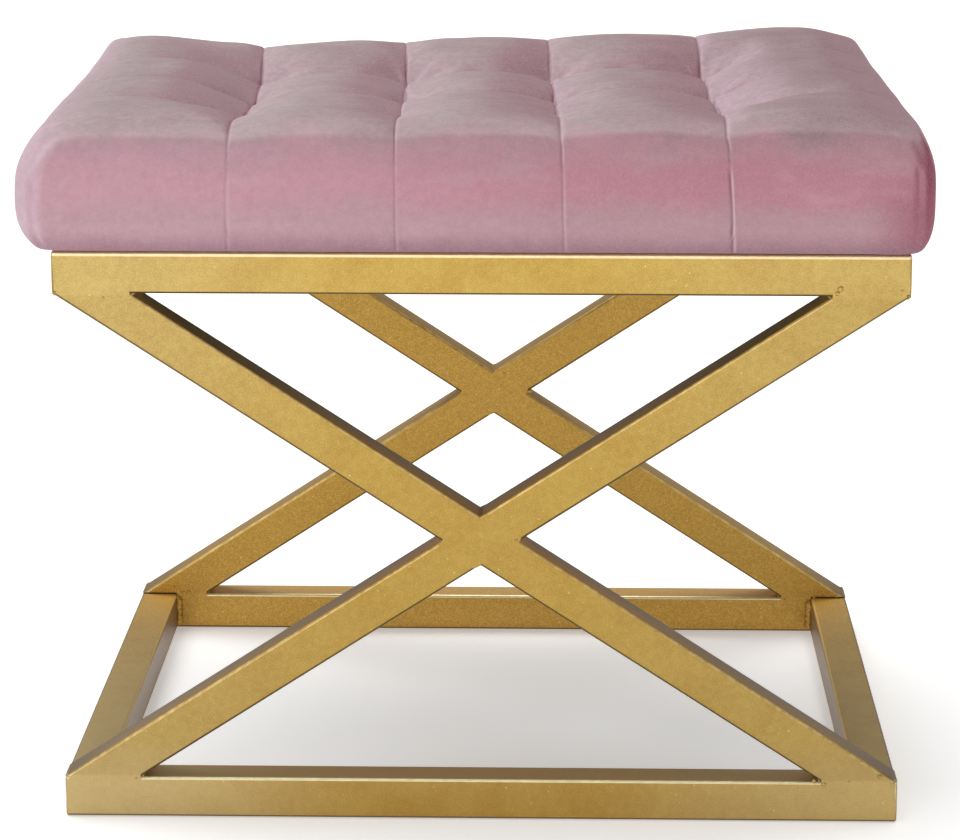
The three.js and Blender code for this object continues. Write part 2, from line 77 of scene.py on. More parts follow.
# %% Camera
PICTURE_WIDTH = 960
FOCAL_LENGTH_IN_PIXELS = 3499
SENSOR_WIDTH = 36
CAMERA_PLACE = Vector((46.5, -2204.7, 716.3)) * MM
CAMERA_TILT = math.radians(13.25)
CAMERA_TURN = math.radians(1.34)

camera = bpy.data.objects.new("camera", bpy.data.cameras.new("camera"))
bpy.context.scene.collection.objects.link(camera)
bpy.context.scene.camera = camera
camera.location = CAMERA_PLACE
camera.rotation_euler = (math.pi / 2 - CAMERA_TILT, 0, CAMERA_TURN)
camera.data.sensor_width = SENSOR_WIDTH
camera.data.lens = FOCAL_LENGTH_IN_PIXELS * SENSOR_WIDTH / PICTURE_WIDTH
print("lens in mm:", round(camera.data.lens, 1))

# %% [markdown]
# ## Sizes of the steel frame
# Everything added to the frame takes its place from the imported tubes: their outline, the size of a
# tube, and the slope of the bars, which follows from where their ends lie on the rails.

# %% Frame sizes
rail_low, rail_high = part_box("front_top_rail")
side_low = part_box("left_top_rail")[0]
TUBE = rail_high.z - rail_low.z
HALF_WIDTH = -side_low.x
HALF_DEPTH = -rail_low.y
RAIL_TOP = rail_high.z
INNER_HEIGHT = RAIL_TOP - 2 * TUBE
diagonal = math.hypot(2 * HALF_WIDTH, INNER_HEIGHT)
SLOPE = math.atan2(INNER_HEIGHT, 2 * HALF_WIDTH) + math.asin(TUBE / diagonal)
FOOTPRINT = TUBE / math.sin(SLOPE)
print("slope of the bars:", round(math.degrees(SLOPE), 2), "footprint in mm:", round(FOOTPRINT / MM, 1))

# %% [markdown]
# ## Expressions that build shader nodes
# A material is a small program of nodes. Wiring them one by one hides what they work out, so this
# class wraps a node's output and lets it be added, multiplied and so on like a number: each
# operation adds one Math node. Every other kind of node comes from `make`, which sets the node up
# and returns one of its outputs, wrapped again.


# %% Wires
class Wire:
    """A node's output that adds Math nodes when it is used in an expression."""

    def __init__(self, socket):
        self.socket = socket

    def make(self, kind, settings=None, inputs=None, output=0):
        """Adds a node, gives it its settings and then its inputs, and returns one output."""
        tree = self.socket.id_data
        node = tree.nodes.new(kind)
        for name, value in (settings or {}).items():
            setattr(node, name, value)
        for key, value in (inputs or {}).items():
            if isinstance(value, Wire):
                tree.links.new(value.socket, node.inputs[key])
            else:
                node.inputs[key].default_value = value
        return Wire(node.outputs[output])

    def maths(self, operation, first, second=0.0):
        return self.make("ShaderNodeMath", {"operation": operation}, {0: first, 1: second})

    def __add__(self, other):
        return self.maths("ADD", self, other)

    def __sub__(self, other):
        return self.maths("SUBTRACT", self, other)

    def __rsub__(self, other):
        return self.maths("SUBTRACT", other, self)

    def __mul__(self, other):
        return self.maths("MULTIPLY", self, other)

    def __truediv__(self, other):
        return self.maths("DIVIDE", self, other)

    def __pow__(self, other):
        return self.maths("POWER", self, other)

    __radd__ = __add__
    __rmul__ = __mul__


# %% [markdown]
# A few helpers stand on the wires. Colours are given as they look on a screen and worked out as
# light. `mixed` lays one colour over another, `ramped` turns any measure into a soft mask from 0 to
# 1, `grain` is noise of a given size, and `bumped` turns a mask into relief.


# %% Colours, masks and relief
def linear(red, green, blue):
    """A colour given as 0 to 255 on a screen, as the linear light that shaders count in."""
    shares = [value / 255 for value in (red, green, blue)]
    light = [s / 12.92 if s <= 0.04045 else ((s + 0.055) / 1.055) ** 2.4 for s in shares]
    return (*light, 1.0)


def axes_of(vector):
    """The three parts of a vector, each as a wire."""
    first = vector.make("ShaderNodeSeparateXYZ", {}, {"Vector": vector})
    return [Wire(axis) for axis in first.socket.node.outputs]


def mixed(mask, first, second):
    """The first colour where the mask is 0 and the second where it is 1."""
    return mask.make("ShaderNodeMix", {"data_type": "RGBA"}, {0: mask, 6: first, 7: second}, 2)


def ramped(value, low, high, to_low=0.0, to_high=1.0):
    """The value eased from one range to another and held at the ends."""
    limits = {1: low, 2: high, 3: to_low, 4: to_high}
    return value.make("ShaderNodeMapRange", {"interpolation_type": "SMOOTHSTEP"}, {0: value, **limits})


def grain(place, size, detail=2.0, roughness=0.5):
    """Soft noise from about 0.3 to 0.7 whose blots are as far apart as the size, in metres."""
    inputs = {"Vector": place, "Scale": 1 / size, "Detail": detail, "Roughness": roughness}
    return place.make("ShaderNodeTexNoise", {}, inputs, "Fac")


def bumped(height, depth, strength=1.0, under=None):
    """A normal bent by a height of 0 to 1 that stands for the given depth, in metres."""
    inputs = {"Height": height, "Distance": depth, "Strength": strength}
    if under:
        inputs["Normal"] = under
    return height.make("ShaderNodeBump", {}, inputs)


def new_finish(name):
    """A material with its shader, and the place on the object as a wire to start from."""
    material = bpy.data.materials.new(name)
    material.use_nodes = True
    shader = material.node_tree.nodes["Principled BSDF"]
    coordinates = material.node_tree.nodes.new("ShaderNodeTexCoord")
    return material, shader, Wire(coordinates.outputs["Object"])


def finished(material, shader, fixed, varying):
    """Sets the shader's fixed sockets and links what changes over the surface."""
    for name, value in fixed.items():
        shader.inputs[name].default_value = value
    for name, wire in varying.items():
        material.node_tree.links.new(wire.socket, shader.inputs[name])
    print("finish:", material.name, len(material.node_tree.nodes), "nodes")
    return material


# %% [markdown]
# ## Gold powder coat
# The steel is sprayed with a powder that holds metal flakes and is then baked. Up close it is a
# satin gold with an even sparkle of lighter and darker flakes. Everything about it follows from two
# things that a shader knows of a point: where it lies and which way its surface faces. This class
# works them out once, as masks from 0 to 1, and the layers of colour below share them.


# %% Gold: where a point lies
RAIL_BORDER = 2 * MM
FLAKE = 1.0 * MM
CLOUD = 4.5 * MM
PATCH = 30 * MM


class Steel:
    """What the gold needs to know of a point on the steel."""

    def __init__(self, place):
        self.place = place
        self.x, self.y, self.z = axes_of(place.make("ShaderNodeNewGeometry", output="Position"))
        normal = place.make("ShaderNodeNewGeometry", output="Normal")
        self.across, self.along, self.up = axes_of(normal)
        self.off_middle = self.x.maths("ABSOLUTE", self.x)
        self.flakes = ramped(grain(place, FLAKE, 1.0), 0.34, 0.66)
        self.patches = ramped(grain(place, PATCH, 3.0), 0.35, 0.65)
        self.clouds = ramped(grain(place, CLOUD, 2.0), 0.35, 0.65)
        self.to_rear = ramped(self.y, -100 * MM, 100 * MM)
        self.near_floor = ramped(self.z, 60 * MM, 15 * MM)
        # A mask for painted reflection: pale towards the ends of the front frame's rails.
        ends = ramped(self.off_middle, 50 * MM, 220 * MM) * ramped(self.y, 190 * MM, -150 * MM)
        self.painted_reflection_at_ends = ends * ramped(self.x, 40 * MM, 200 * MM, 1.0, 0.65)
        on_low_rail = ramped(self.z, TUBE + RAIL_BORDER, TUBE)
        on_top_rail = ramped(self.z, RAIL_TOP - TUBE - RAIL_BORDER, RAIL_TOP - TUBE)
        self.on_rail = on_low_rail + on_top_rail
        self.off_rail = 1 - self.on_rail
        self.upward = ramped(self.up, 0.5, 0.8)
        self.upward_bar_faces = self.upward * self.off_rail


# %% [markdown]
# The ground colour runs from a deep gold to a light one, and the flakes, soft clouds and broad
# patches choose between them, and the patches drift towards olive. Painted reflection makes the
# front frame palest near the ends of the rails and richer in the middle, and turns it orange-brown
# low in the middle. On the slanting bars painted shade makes it browner towards the floor.


# %% Gold: flakes and drift
DEEP_GOLD = linear(168, 133, 56)
DEEP_GOLD_WITH_PAINTED_REFLECTION = linear(174, 144, 78)
LIGHT_GOLD = linear(206, 173, 88)
LIGHT_GOLD_WITH_PAINTED_REFLECTION = linear(212, 184, 116)
OLIVE = linear(186, 166, 88)
PAINTED_SHADE_BROWN = linear(150, 118, 52)
PAINTED_REFLECTION_ORANGE_BROWN = linear(150, 106, 44)


def flaked_gold(steel):
    """The colour of a plain face."""
    # Painted reflection: the gold is paler near the ends of the rails.
    deep = mixed(steel.painted_reflection_at_ends, DEEP_GOLD, DEEP_GOLD_WITH_PAINTED_REFLECTION)
    light = mixed(steel.painted_reflection_at_ends, LIGHT_GOLD, LIGHT_GOLD_WITH_PAINTED_REFLECTION)
    speckle = 0.4 + steel.off_rail * 0.12 + steel.to_rear * 0.28
    cloudiness = steel.clouds * (0.14 + steel.off_rail * 0.08)
    lightness = steel.patches * 0.2 + cloudiness + steel.flakes * speckle + 0.11
    colour = mixed(lightness - steel.off_rail * 0.09, deep, light)
    colour = mixed(steel.patches * 0.14, colour, OLIVE)
    # Painted shade: the bars turn browner towards the floor.
    painted_shade_low_on_bars = steel.off_rail * ramped(steel.z, 320 * MM, 40 * MM, 0.2, 0.42)
    colour = mixed(painted_shade_low_on_bars, colour, PAINTED_SHADE_BROWN)
    # Painted reflection of a darker floor: orange-brown low in the middle.
    painted_dark_reflection_low = steel.near_floor * (1 - steel.painted_reflection_at_ends)
    return mixed(painted_dark_reflection_low * 0.35, colour, PAINTED_REFLECTION_ORANGE_BROWN)


# %% [markdown]
# Faces that look up get painted reflection and painted shade. On the slanting bars they are golden
# at their front edge and grey behind it, darker near the floor and under the seat, and darkest in
# the rear frame. On the front and rear rails they get a painted pale light. On the side rails they
# keep the plain colour.


# %% Gold: faces that look up
PAINTED_REFLECTION_GOLDEN_EDGE = linear(224, 164, 84)
PAINTED_REFLECTION_GREY = linear(150, 140, 142)
PAINTED_SHADE_NEAR_FLOOR = linear(84, 62, 52)
PAINTED_SHADE_UNDER_SEAT = linear(62, 44, 26)
PAINTED_REFLECTION_REAR_EDGE = linear(56, 44, 30)
PAINTED_REFLECTION_REAR_GREY = linear(20, 26, 32)
PAINTED_LIGHT_ON_RAIL_TOP = linear(226, 192, 136)


def with_painted_shade_on_tops(steel, colour):
    front_bars = ramped(steel.y, -HALF_DEPTH, TUBE - HALF_DEPTH) * (1 - steel.to_rear)
    rear_bars = ramped(steel.y, HALF_DEPTH - TUBE, HALF_DEPTH)
    into_bar = front_bars + rear_bars
    # Painted reflection and painted shade on the faces of the bars that look up.
    painted_top_shade = mixed(into_bar, PAINTED_REFLECTION_GOLDEN_EDGE, PAINTED_REFLECTION_GREY)
    painted_top_shade = mixed(ramped(steel.z, 200 * MM, 50 * MM) * 0.6, painted_top_shade, PAINTED_SHADE_NEAR_FLOOR)
    painted_top_shade = mixed(ramped(steel.z, 220 * MM, 300 * MM), painted_top_shade, PAINTED_SHADE_UNDER_SEAT)
    painted_rear_top_shade = mixed(into_bar, PAINTED_REFLECTION_REAR_EDGE, PAINTED_REFLECTION_REAR_GREY)
    painted_top_shade = mixed(steel.to_rear, painted_top_shade, painted_rear_top_shade)
    colour = mixed(steel.upward_bar_faces * (0.55 + steel.to_rear * 0.25), colour, painted_top_shade)
    # Painted light on the tops of the front and rear rails, less near their ends.
    side_rail_face = HALF_WIDTH - TUBE
    off_side_rails = ramped(steel.off_middle, side_rail_face + 2 * MM, side_rail_face - 6 * MM)
    painted_light_on_rail_tops = steel.upward * steel.on_rail * off_side_rails
    return mixed(painted_light_on_rail_tops * (0.55 - steel.painted_reflection_at_ends * 0.25), colour, PAINTED_LIGHT_ON_RAIL_TOP)


# %% [markdown]
# The rear frame gets a painted warm reflection and a darker grain, and the low ends of the rails a
# painted pale reflection. Here and there a flake gets a painted glint, a pale spot in its colour, and
# a smoother, glossier coat. Such flakes come from a pattern of cells: a point close to the middle of
# its cell lies on a flake. The coarse cells are a centimetre apart and the fine ones are under three
# millimetres.


# %% Gold: the rear frame and bright sparks
PAINTED_WARM_REFLECTION = linear(222, 174, 80)
DARK_FLAKE = linear(118, 84, 26)
PAINTED_PALE_REFLECTION_LOW_END = linear(190, 168, 124)


def cells(place, size, randomness=1.0):
    """How far a place lies from the middle of its cell, for cells of the given size in metres."""
    inputs = {"Vector": place, "Scale": 1 / size, "Randomness": randomness}
    return place.make("ShaderNodeTexVoronoi", {}, inputs, "Distance")


def with_painted_rear_reflection_and_grain(steel, colour):
    # Painted warm reflection on the rear frame.
    colour = mixed(ramped(steel.y, 60 * MM, 190 * MM) * 0.55, colour, PAINTED_WARM_REFLECTION)
    dark_flakes = ramped(grain(steel.place, 0.8 * MM, 0.0), 0.62, 0.38)
    colour = mixed(dark_flakes * steel.to_rear * 0.3, colour, DARK_FLAKE)
    # Painted pale reflection low on the ends of the rails.
    painted_reflection_low_ends = steel.near_floor * steel.painted_reflection_at_ends
    return mixed(painted_reflection_low_ends * 0.5, colour, PAINTED_PALE_REFLECTION_LOW_END)


def flake_glint_mask(steel):
    coarse = ramped(cells(steel.place, 10 * MM), 0.06, 0.025)
    fine = ramped(cells(steel.place, 2.6 * MM), 0.16, 0.05)
    return coarse * 0.8 + fine * (steel.clouds * 0.5 + steel.to_rear * 0.6)


# %% [markdown]
# The upper edges of the tubes get a painted cream highlight and the lower edges painted shade.
# Which edge is which follows from the surface's own normal: it leans out of its face only where the
# tube is rounded. The side rails show their edges to the camera from above, with a painted highlight
# on their inner edges and painted shade on their inner faces and outer edges, and where a bar's
# frame rests on one the joint is a dark line.


# %% Gold: edge lines
PAINTED_HIGHLIGHT_NEAR_FLOOR = linear(255, 246, 200)
PAINTED_HIGHLIGHT_UNDER_SEAT = linear(246, 224, 176)
PAINTED_HIGHLIGHT_ON_BARS = linear(250, 216, 140)
PAINTED_SHADE_LOWER_EDGE = linear(78, 58, 32)
PAINTED_HIGHLIGHT_INNER_EDGE = linear(252, 222, 156)
PAINTED_SHADE_INNER_FACE = linear(112, 90, 84)
PAINTED_SHADE_OUTER_EDGE = linear(84, 66, 40)
JOINT_SHADOW = linear(40, 30, 18)


def with_painted_edge_light(steel, colour):
    """Painted highlights on the upper edges and painted shade on the lower edges of front faces."""
    to_front = 0 - steel.along
    wide = ramped(to_front, 0.06, 0.25) * ramped(to_front, 0.99, 0.93) * steel.on_rail
    narrow = ramped(to_front, 0.2, 0.4) * ramped(to_front, 0.985, 0.92)
    near_top = ramped(steel.z, RAIL_TOP - 3.1 * MM, RAIL_TOP - 2.5 * MM) * ramped(to_front, 0.1, 0.3)
    rounding = narrow.maths("MAXIMUM", narrow * (0.65 + steel.clouds * 0.35), wide)
    upper_edge = rounding.maths("MAXIMUM", rounding * ramped(steel.up, 0.08, 0.25), near_top)
    cream = mixed(ramped(steel.z, 30 * MM, 320 * MM), PAINTED_HIGHLIGHT_NEAR_FLOOR, PAINTED_HIGHLIGHT_UNDER_SEAT)
    cream = mixed(steel.on_rail, PAINTED_HIGHLIGHT_ON_BARS, cream)
    colour = mixed(upper_edge * (0.85 + steel.clouds * 0.15), colour, cream)
    return mixed(narrow * ramped(steel.up, -0.1, -0.3) * 0.8, colour, PAINTED_SHADE_LOWER_EDGE)


def with_painted_side_rail_edges(steel, colour):
    """Side rails: painted highlight on inner edges, painted shade on inner faces and outer edges."""
    inward = 0 - steel.across * steel.x.maths("SIGN", steel.x)
    facing_up = ramped(steel.up, 0.2, 0.4)
    inner_edge = ramped(inward, 0.2, 0.45) * ramped(inward, 0.95, 0.8) * facing_up
    colour = mixed(inner_edge * steel.near_floor * 0.8, colour, PAINTED_HIGHLIGHT_INNER_EDGE)
    inner_face = ramped(inward, 0.9, 0.98)
    colour = mixed(inner_face * steel.near_floor * 0.75, colour, PAINTED_SHADE_INNER_FACE)
    outer_edge = ramped(inward, -0.2, -0.45) * ramped(inward, -0.97, -0.85) * facing_up
    return mixed(outer_edge * steel.near_floor * 0.7, colour, PAINTED_SHADE_OUTER_EDGE)


def with_resting_joints(steel, colour):
    """A dark line where a rear bar's tip rests on the end of a low side rail."""
    over_side_rail = ramped(steel.off_middle, HALF_WIDTH - TUBE - MM, HALF_WIDTH - TUBE + MM)
    above_joint = steel.z - TUBE
    at_joint = ramped(above_joint.maths("ABSOLUTE", above_joint), 1.1 * MM, 0.6 * MM)
    off_face = steel.y - (HALF_DEPTH - TUBE)
    on_face = ramped(off_face.maths("ABSOLUTE", off_face), 1.4 * MM, 0.8 * MM)
    return mixed(over_side_rail * at_joint * on_face * 0.9, colour, JOINT_SHADOW)


# %% [markdown]
# The layers go on one over another, from the ground colour to the edges. A weld has no straight
# edges, so its coat goes without the edge lines. The relief is three bumps, each bent further by
# the next: the orange peel of the sprayed film, the soft clouds and the flakes.


# %% Gold finish
PAINTED_GLINT = linear(255, 236, 176)


def gold_coat(name, edges=True):
    material, shader, place = new_finish(name)
    steel = Steel(place)
    glinting_flakes = flake_glint_mask(steel)
    colour = flaked_gold(steel)
    colour = with_painted_shade_on_tops(steel, colour)
    colour = with_painted_rear_reflection_and_grain(steel, colour)
    # Painted glint: a pale spot on each glinting flake.
    colour = mixed(glinting_flakes * 0.55, colour, PAINTED_GLINT)
    if edges:
        colour = with_painted_edge_light(steel, colour)
        colour = with_painted_side_rail_edges(steel, colour)
        colour = with_resting_joints(steel, colour)
    peel = bumped(grain(place, 2.4 * MM, 2.0), 0.12 * MM, 0.35)
    swell = bumped(steel.clouds, 0.1 * MM, 0.3, peel)
    film = bumped(steel.flakes, 0.05 * MM, 0.5, swell)
    fixed = {"Coat Roughness": 0.24, "Specular IOR Level": 0.5}
    varying = {
        "Base Color": colour,
        "Roughness": 0.42 + steel.flakes * 0.08 - glinting_flakes * 0.12,
        "Metallic": 0.8 - steel.upward_bar_faces * steel.to_rear * 0.3,
        "Coat Weight": (0.14 + glinting_flakes * 0.3) * (1 - steel.upward_bar_faces),
        "Normal": film,
    }
    return finished(material, shader, fixed, varying)


gold = gold_coat("gold_powder_coat")
weld_gold = gold_coat("gold_powder_coat_on_welds", edges=False)

# %% [markdown]
# ## Pink velvet
# Velvet is a pile of short fibres that all lean one way. It scatters light at grazing angles, so
# surfaces seen edge on look pale and surfaces seen face on look deep. Part of that is the shader's
# sheen. The rest is painted sheen, light and shade in the colour: grey and pale on top, rosy on the
# front, lighter at the left end and deeper at the right, with blots where hands have stroked it.
# That part follows from a point's place and from the way its surface faces, so it stays put when
# the camera moves. As with the gold, a class holds the measures, and `stroke`, a soft random number
# round 0, makes every border waver.


# %% Velvet: where a point lies and how it was stroked
BRUSHED = (0.45, 1.0, 1.6)
HUNG = (1.7, 1.0, 0.6)


def stretched(place, scale):
    """The place with its three axes scaled, so that noise read from it becomes streaky."""
    return place.make("ShaderNodeMapping", {}, {"Vector": place, "Scale": scale})


class Pile:
    """What the velvet needs to know of a point on the cover."""

    def __init__(self, place):
        normal = place.make("ShaderNodeNewGeometry", output="Normal")
        self.across, self.along, self.up = axes_of(normal)
        self.x, self.y, self.z = axes_of(place)
        self.blots = grain(place, 46 * MM, 4.0, 0.55)
        self.smears = grain(stretched(place, BRUSHED), 13 * MM, 4.0, 0.62)
        self.strokes = grain(stretched(place, HUNG), 12 * MM, 3.0, 0.6)
        self.fibres = grain(place, 1.4 * MM, 3.0, 0.6)
        self.tufts = grain(place, 5 * MM, 3.0, 0.65)
        stroke = (self.blots - 0.5) * 0.9 + (self.smears - 0.5) * 0.35 + (self.tufts - 0.5) * 0.15
        self.stroke = stroke
        self.to_right = ramped(self.x + stroke * 60 * MM, -250 * MM, 190 * MM)
        self.height = self.z + stroke * 40 * MM
        self.facing_front = stroke * 0.8 - self.along
        self.facing_side = self.across + stroke * 0.3
        over_edge = self.z + self.y * 0.5 + stroke * 65 * MM - RAIL_TOP
        self.at_front = ramped(self.y, -165 * MM, -185 * MM)
        steep = ramped(self.facing_front, 0.15, 0.95)
        self.steep = self.near_edge(steep, ramped(over_edge, -22 * MM, -52 * MM))
        sloping = ramped(self.facing_front, 0.0, 0.42)
        self.sloping = self.near_edge(sloping, ramped(over_edge, -9 * MM, -43 * MM))
        self.on_top = ramped(self.up, 0.55, 0.8) * (1 - self.sloping * self.at_front)

    def near_edge(self, by_normal, by_place):
        """The mask that follows from the normal, but close to the front edge the one from the place."""
        return by_normal + (by_place - by_normal) * self.at_front

    # The change from left to right is painted light: lighter at the left, deeper at the right.
    def tone(self, ends):
        """A colour that changes from the seat's left end to its right end."""
        at_left, at_right = ends
        return mixed(self.to_right, linear(*at_left), linear(*at_right))


# %% [markdown]
# The front is rosy in a band across its middle and greyer above and below, a painted sheen. Painted
# light makes it lighter at the left than at the right, and it has pale blots and a few darker
# streaks that hang down.


# %% Velvet: the front
# Tones at the seat's left end and at its right end
UPPER_FRONT = ((184, 146, 156), (174, 130, 139))
ROSY_BAND = ((195, 149, 161), (178, 122, 134))
LOW_FRONT = ((184, 148, 157), (173, 137, 144))
PALE_BLOT = linear(196, 164, 173)
HANGING_STREAK = linear(170, 120, 132)


def front_colour(pile):
    upper_front = pile.tone(UPPER_FRONT)
    rosy_band = pile.tone(ROSY_BAND)
    low_front = pile.tone(LOW_FRONT)
    # Painted sheen: a rosy band across the middle of the front, greyer above and below.
    above_low = ramped(pile.height, RAIL_TOP + 22 * MM, RAIL_TOP + 38 * MM)
    above_band = ramped(pile.height, RAIL_TOP + 46 * MM, RAIL_TOP + 66 * MM)
    colour = mixed(above_low, low_front, rosy_band)
    colour = mixed(above_band, colour, upper_front)
    pale_blots = ramped(pile.smears * 0.6 + pile.blots * 0.6, 0.56, 0.84, 0.0, 0.3)
    colour = mixed(pale_blots, colour, PALE_BLOT)
    return mixed(ramped(pile.strokes, 0.5, 0.7, 0.0, 0.14), colour, HANGING_STREAK)


# %% [markdown]
# On top the colour is a painted sheen, grey, and where the top rolls over to the front it passes
# through mauve. The crests of the panels get a painted highlight on their front slopes, and so does
# the rear edge.


# %% Velvet: the top
# Tones at the seat's left end and at its right end
MAUVE = ((166, 144, 149), (148, 119, 126))
GREY_PAINTED_SHEEN = ((160, 148, 146), (140, 120, 122))
PAINTED_CREST_HIGHLIGHT = linear(194, 178, 179)


def with_painted_sheen_on_top(pile, front):
    mauve = pile.tone(MAUVE)
    grey_painted_sheen = pile.tone(GREY_PAINTED_SHEEN)
    # Painted sheen: grey on top, mauve where it rolls over to the front.
    colour = mixed(pile.sloping, grey_painted_sheen, mixed(pile.steep, mauve, front))
    slope = 0 - pile.along
    front_slope = ramped(slope, -0.1, 0.3) * ramped(slope, 0.8, 0.3)
    # Painted highlights on the crests' front slopes and on the rear edge.
    painted_crest_highlight = front_slope * ramped(pile.y, 0.0, -120 * MM, 0.1, 0.32)
    painted_rear_highlight = ramped(pile.y, 150 * MM, 205 * MM) * ramped(slope, 0.3, 0.0) * 0.6
    return mixed(painted_crest_highlight + painted_rear_highlight, colour, PAINTED_CREST_HIGHLIGHT)


# %% [markdown]
# A panel's flank that leans to the left gets painted light and one that leans to the right painted
# shade. The right end of the top gets the deepest painted shade, and flanks that fall to the rear
# are duller. Light and dark streaks run across the panels.


# %% Velvet: the flanks of the panels
# Tones at the seat's left end and at its right end
REAR_FLANK = ((166, 136, 142), (150, 118, 126))
LIGHT_STREAK = linear(190, 176, 175)
DARK_STREAK = linear(134, 106, 111)
PAINTED_LIGHT_FLANK = linear(196, 182, 181)
PAINTED_SHADE_FLANK = linear(136, 88, 99)
PAINTED_SHADE_RIGHT_END = linear(118, 92, 97)


def with_leaning_flanks(pile, colour):
    streaks = ramped(pile.smears, 0.38, 0.62)
    colour = mixed(pile.on_top * streaks * 0.1, colour, LIGHT_STREAK)
    colour = mixed(pile.on_top * (1 - streaks) * 0.12, colour, DARK_STREAK)
    # Painted light on flanks that lean left, painted shade on flanks that lean right and at the right
    # end.
    leaning_left = ramped(pile.across, 0.1, -0.26) * ramped(pile.x, -205 * MM, -150 * MM)
    leaning_left = leaning_left * ramped(pile.x, 110 * MM, 165 * MM, 1.0, 0.3)
    colour = mixed(pile.on_top * leaning_left * 0.4, colour, PAINTED_LIGHT_FLANK)
    leaning_right = ramped(pile.across, -0.12, 0.22)
    colour = mixed(pile.on_top * leaning_right * 0.58, colour, PAINTED_SHADE_FLANK)
    right_end = ramped(pile.x + pile.stroke * 40 * MM, 160 * MM, 235 * MM)
    colour = mixed(pile.on_top * right_end * 0.32, colour, PAINTED_SHADE_RIGHT_END)
    falling_back = ramped(pile.along + pile.stroke * 0.3, 0.05, 0.25, 0.0, 0.6)
    return mixed(falling_back, colour, pile.tone(REAR_FLANK))


# %% [markdown]
# The left end of the seat gets painted light and the right end painted shade, with the deepest rose
# round the front right corner. Under all of it the cloth gets painted shade where it turns in at the
# hem.


# %% Velvet: the ends and the hem
PAINTED_SHADE_TURNING_RIGHT = linear(146, 118, 123)
PAINTED_SHADE_RIGHT_SIDE = linear(168, 120, 132)
PAINTED_SHADE_DEEP_ROSE = linear(134, 56, 76)
PAINTED_LIGHT_LEFT_END = linear(204, 178, 188)
PAINTED_SHADE_LOW_RIGHT = linear(152, 84, 99)
HEM_SHADE = linear(118, 84, 98)


def with_ends_and_hem(pile, colour):
    # Painted shade on surfaces that turn right, deepest round the front right corner, and painted light
    # on the left end.
    beside_front = ramped(pile.facing_front, 0.75, 0.45)
    turning_right = ramped(pile.facing_side, 0.06, 0.4, 0.0, 0.4)
    colour = mixed(turning_right * beside_front, colour, PAINTED_SHADE_TURNING_RIGHT)
    to_corner = ramped(pile.facing_front, 0.1, 0.35)
    painted_shade_corner = mixed(to_corner, PAINTED_SHADE_RIGHT_SIDE, PAINTED_SHADE_DEEP_ROSE)
    colour = mixed(ramped(pile.facing_side, 0.4, 0.8), colour, painted_shade_corner)
    colour = mixed(ramped(pile.facing_side, -0.08, -0.6, 0.0, 0.85), colour, PAINTED_LIGHT_LEFT_END)
    # Painted shade low on the right.
    low = ramped(pile.height, RAIL_TOP + 62 * MM, RAIL_TOP + 24 * MM)
    low_right = ramped(pile.x, 216 * MM, 254 * MM) * low
    colour = mixed(low_right * 0.75, colour, PAINTED_SHADE_LOW_RIGHT)
    # Painted shade where the cloth turns in at the hem.
    near_hem = ramped(pile.z + pile.strokes * 8 * MM, RAIL_TOP + 22 * MM, RAIL_TOP + 3 * MM)
    return mixed(near_hem * 0.68, colour, HEM_SHADE)


# %% [markdown]
# Last come the grain of the pile, stronger on top, and the seams. Two numbers that are noted on the
# cover's points further down say where a seam's crease gets painted shade and where the lip beside
# it gets a painted highlight.


# %% Velvet: grain and seams
TUFT_SHADE = linear(138, 108, 116)
FIBRE_LIGHT = linear(208, 186, 191)
PAINTED_SEAM_SHADE = linear(104, 70, 80)
PAINTED_LIP_HIGHLIGHT = linear(220, 188, 197)


def with_grain(pile, colour):
    tufted = ramped(pile.tufts, 0.3, 0.7) * (0.16 + pile.on_top * 0.14)
    colour = mixed(tufted, colour, TUFT_SHADE)
    fibrous = ramped(pile.fibres, 0.35, 0.75) * (0.12 + pile.on_top * 0.1)
    return mixed(fibrous, colour, FIBRE_LIGHT)


def with_seams(place, colour):
    seam_line = place.make("ShaderNodeAttribute", {"attribute_name": "seam_line"}, output="Fac")
    seam_lip = place.make("ShaderNodeAttribute", {"attribute_name": "seam_lip"}, output="Fac")
    # Painted shade in the seams' creases and a painted highlight on the lip beside them.
    colour = mixed(seam_line * 0.75, colour, PAINTED_SEAM_SHADE)
    return mixed(seam_lip * 0.5, colour, PAINTED_LIP_HIGHLIGHT)


# %% [markdown]
# The layers go on in that order. The relief is soft as well: the nap of single fibres, and over it
# the broader marks of strokes. The sheen is faint, because most of it is in the colours already.


# %% Velvet finish
def pink_velvet():
    material, shader, place = new_finish("pink_velvet")
    pile = Pile(place)
    colour = front_colour(pile)
    colour = with_painted_sheen_on_top(pile, colour)
    colour = with_leaning_flanks(pile, colour)
    colour = with_ends_and_hem(pile, colour)
    colour = with_grain(pile, colour)
    colour = with_seams(place, colour)
    fixed = {
        "Sheen Weight": 0.12,
        "Sheen Roughness": 0.45,
        "Sheen Tint": linear(255, 232, 236),
        "Specular IOR Level": 0.12,
    }
    nap = bumped(pile.fibres, 0.15 * MM, 0.3)
    varying = {
        "Base Color": colour,
        "Roughness": 0.8 + pile.blots * 0.18,
        "Normal": bumped(pile.smears, 0.4 * MM, 0.2, nap),
    }
    return finished(material, shader, fixed, varying)


velvet = pink_velvet()

# %% [markdown]
# ## Finishes under the seat
# The rest is seldom seen, but a stool is turned over to be put together, and then all of it shows.
# The board has a long grain on its faces and thin plies on its edges, and the yellow foam is full
# of pores. Each finish is a few nodes on the same wires.


# %% Plywood and foam
PLY_THICKNESS = 1.5 * MM
ALONG_THE_BOARD = (4.0, 60.0, 60.0)


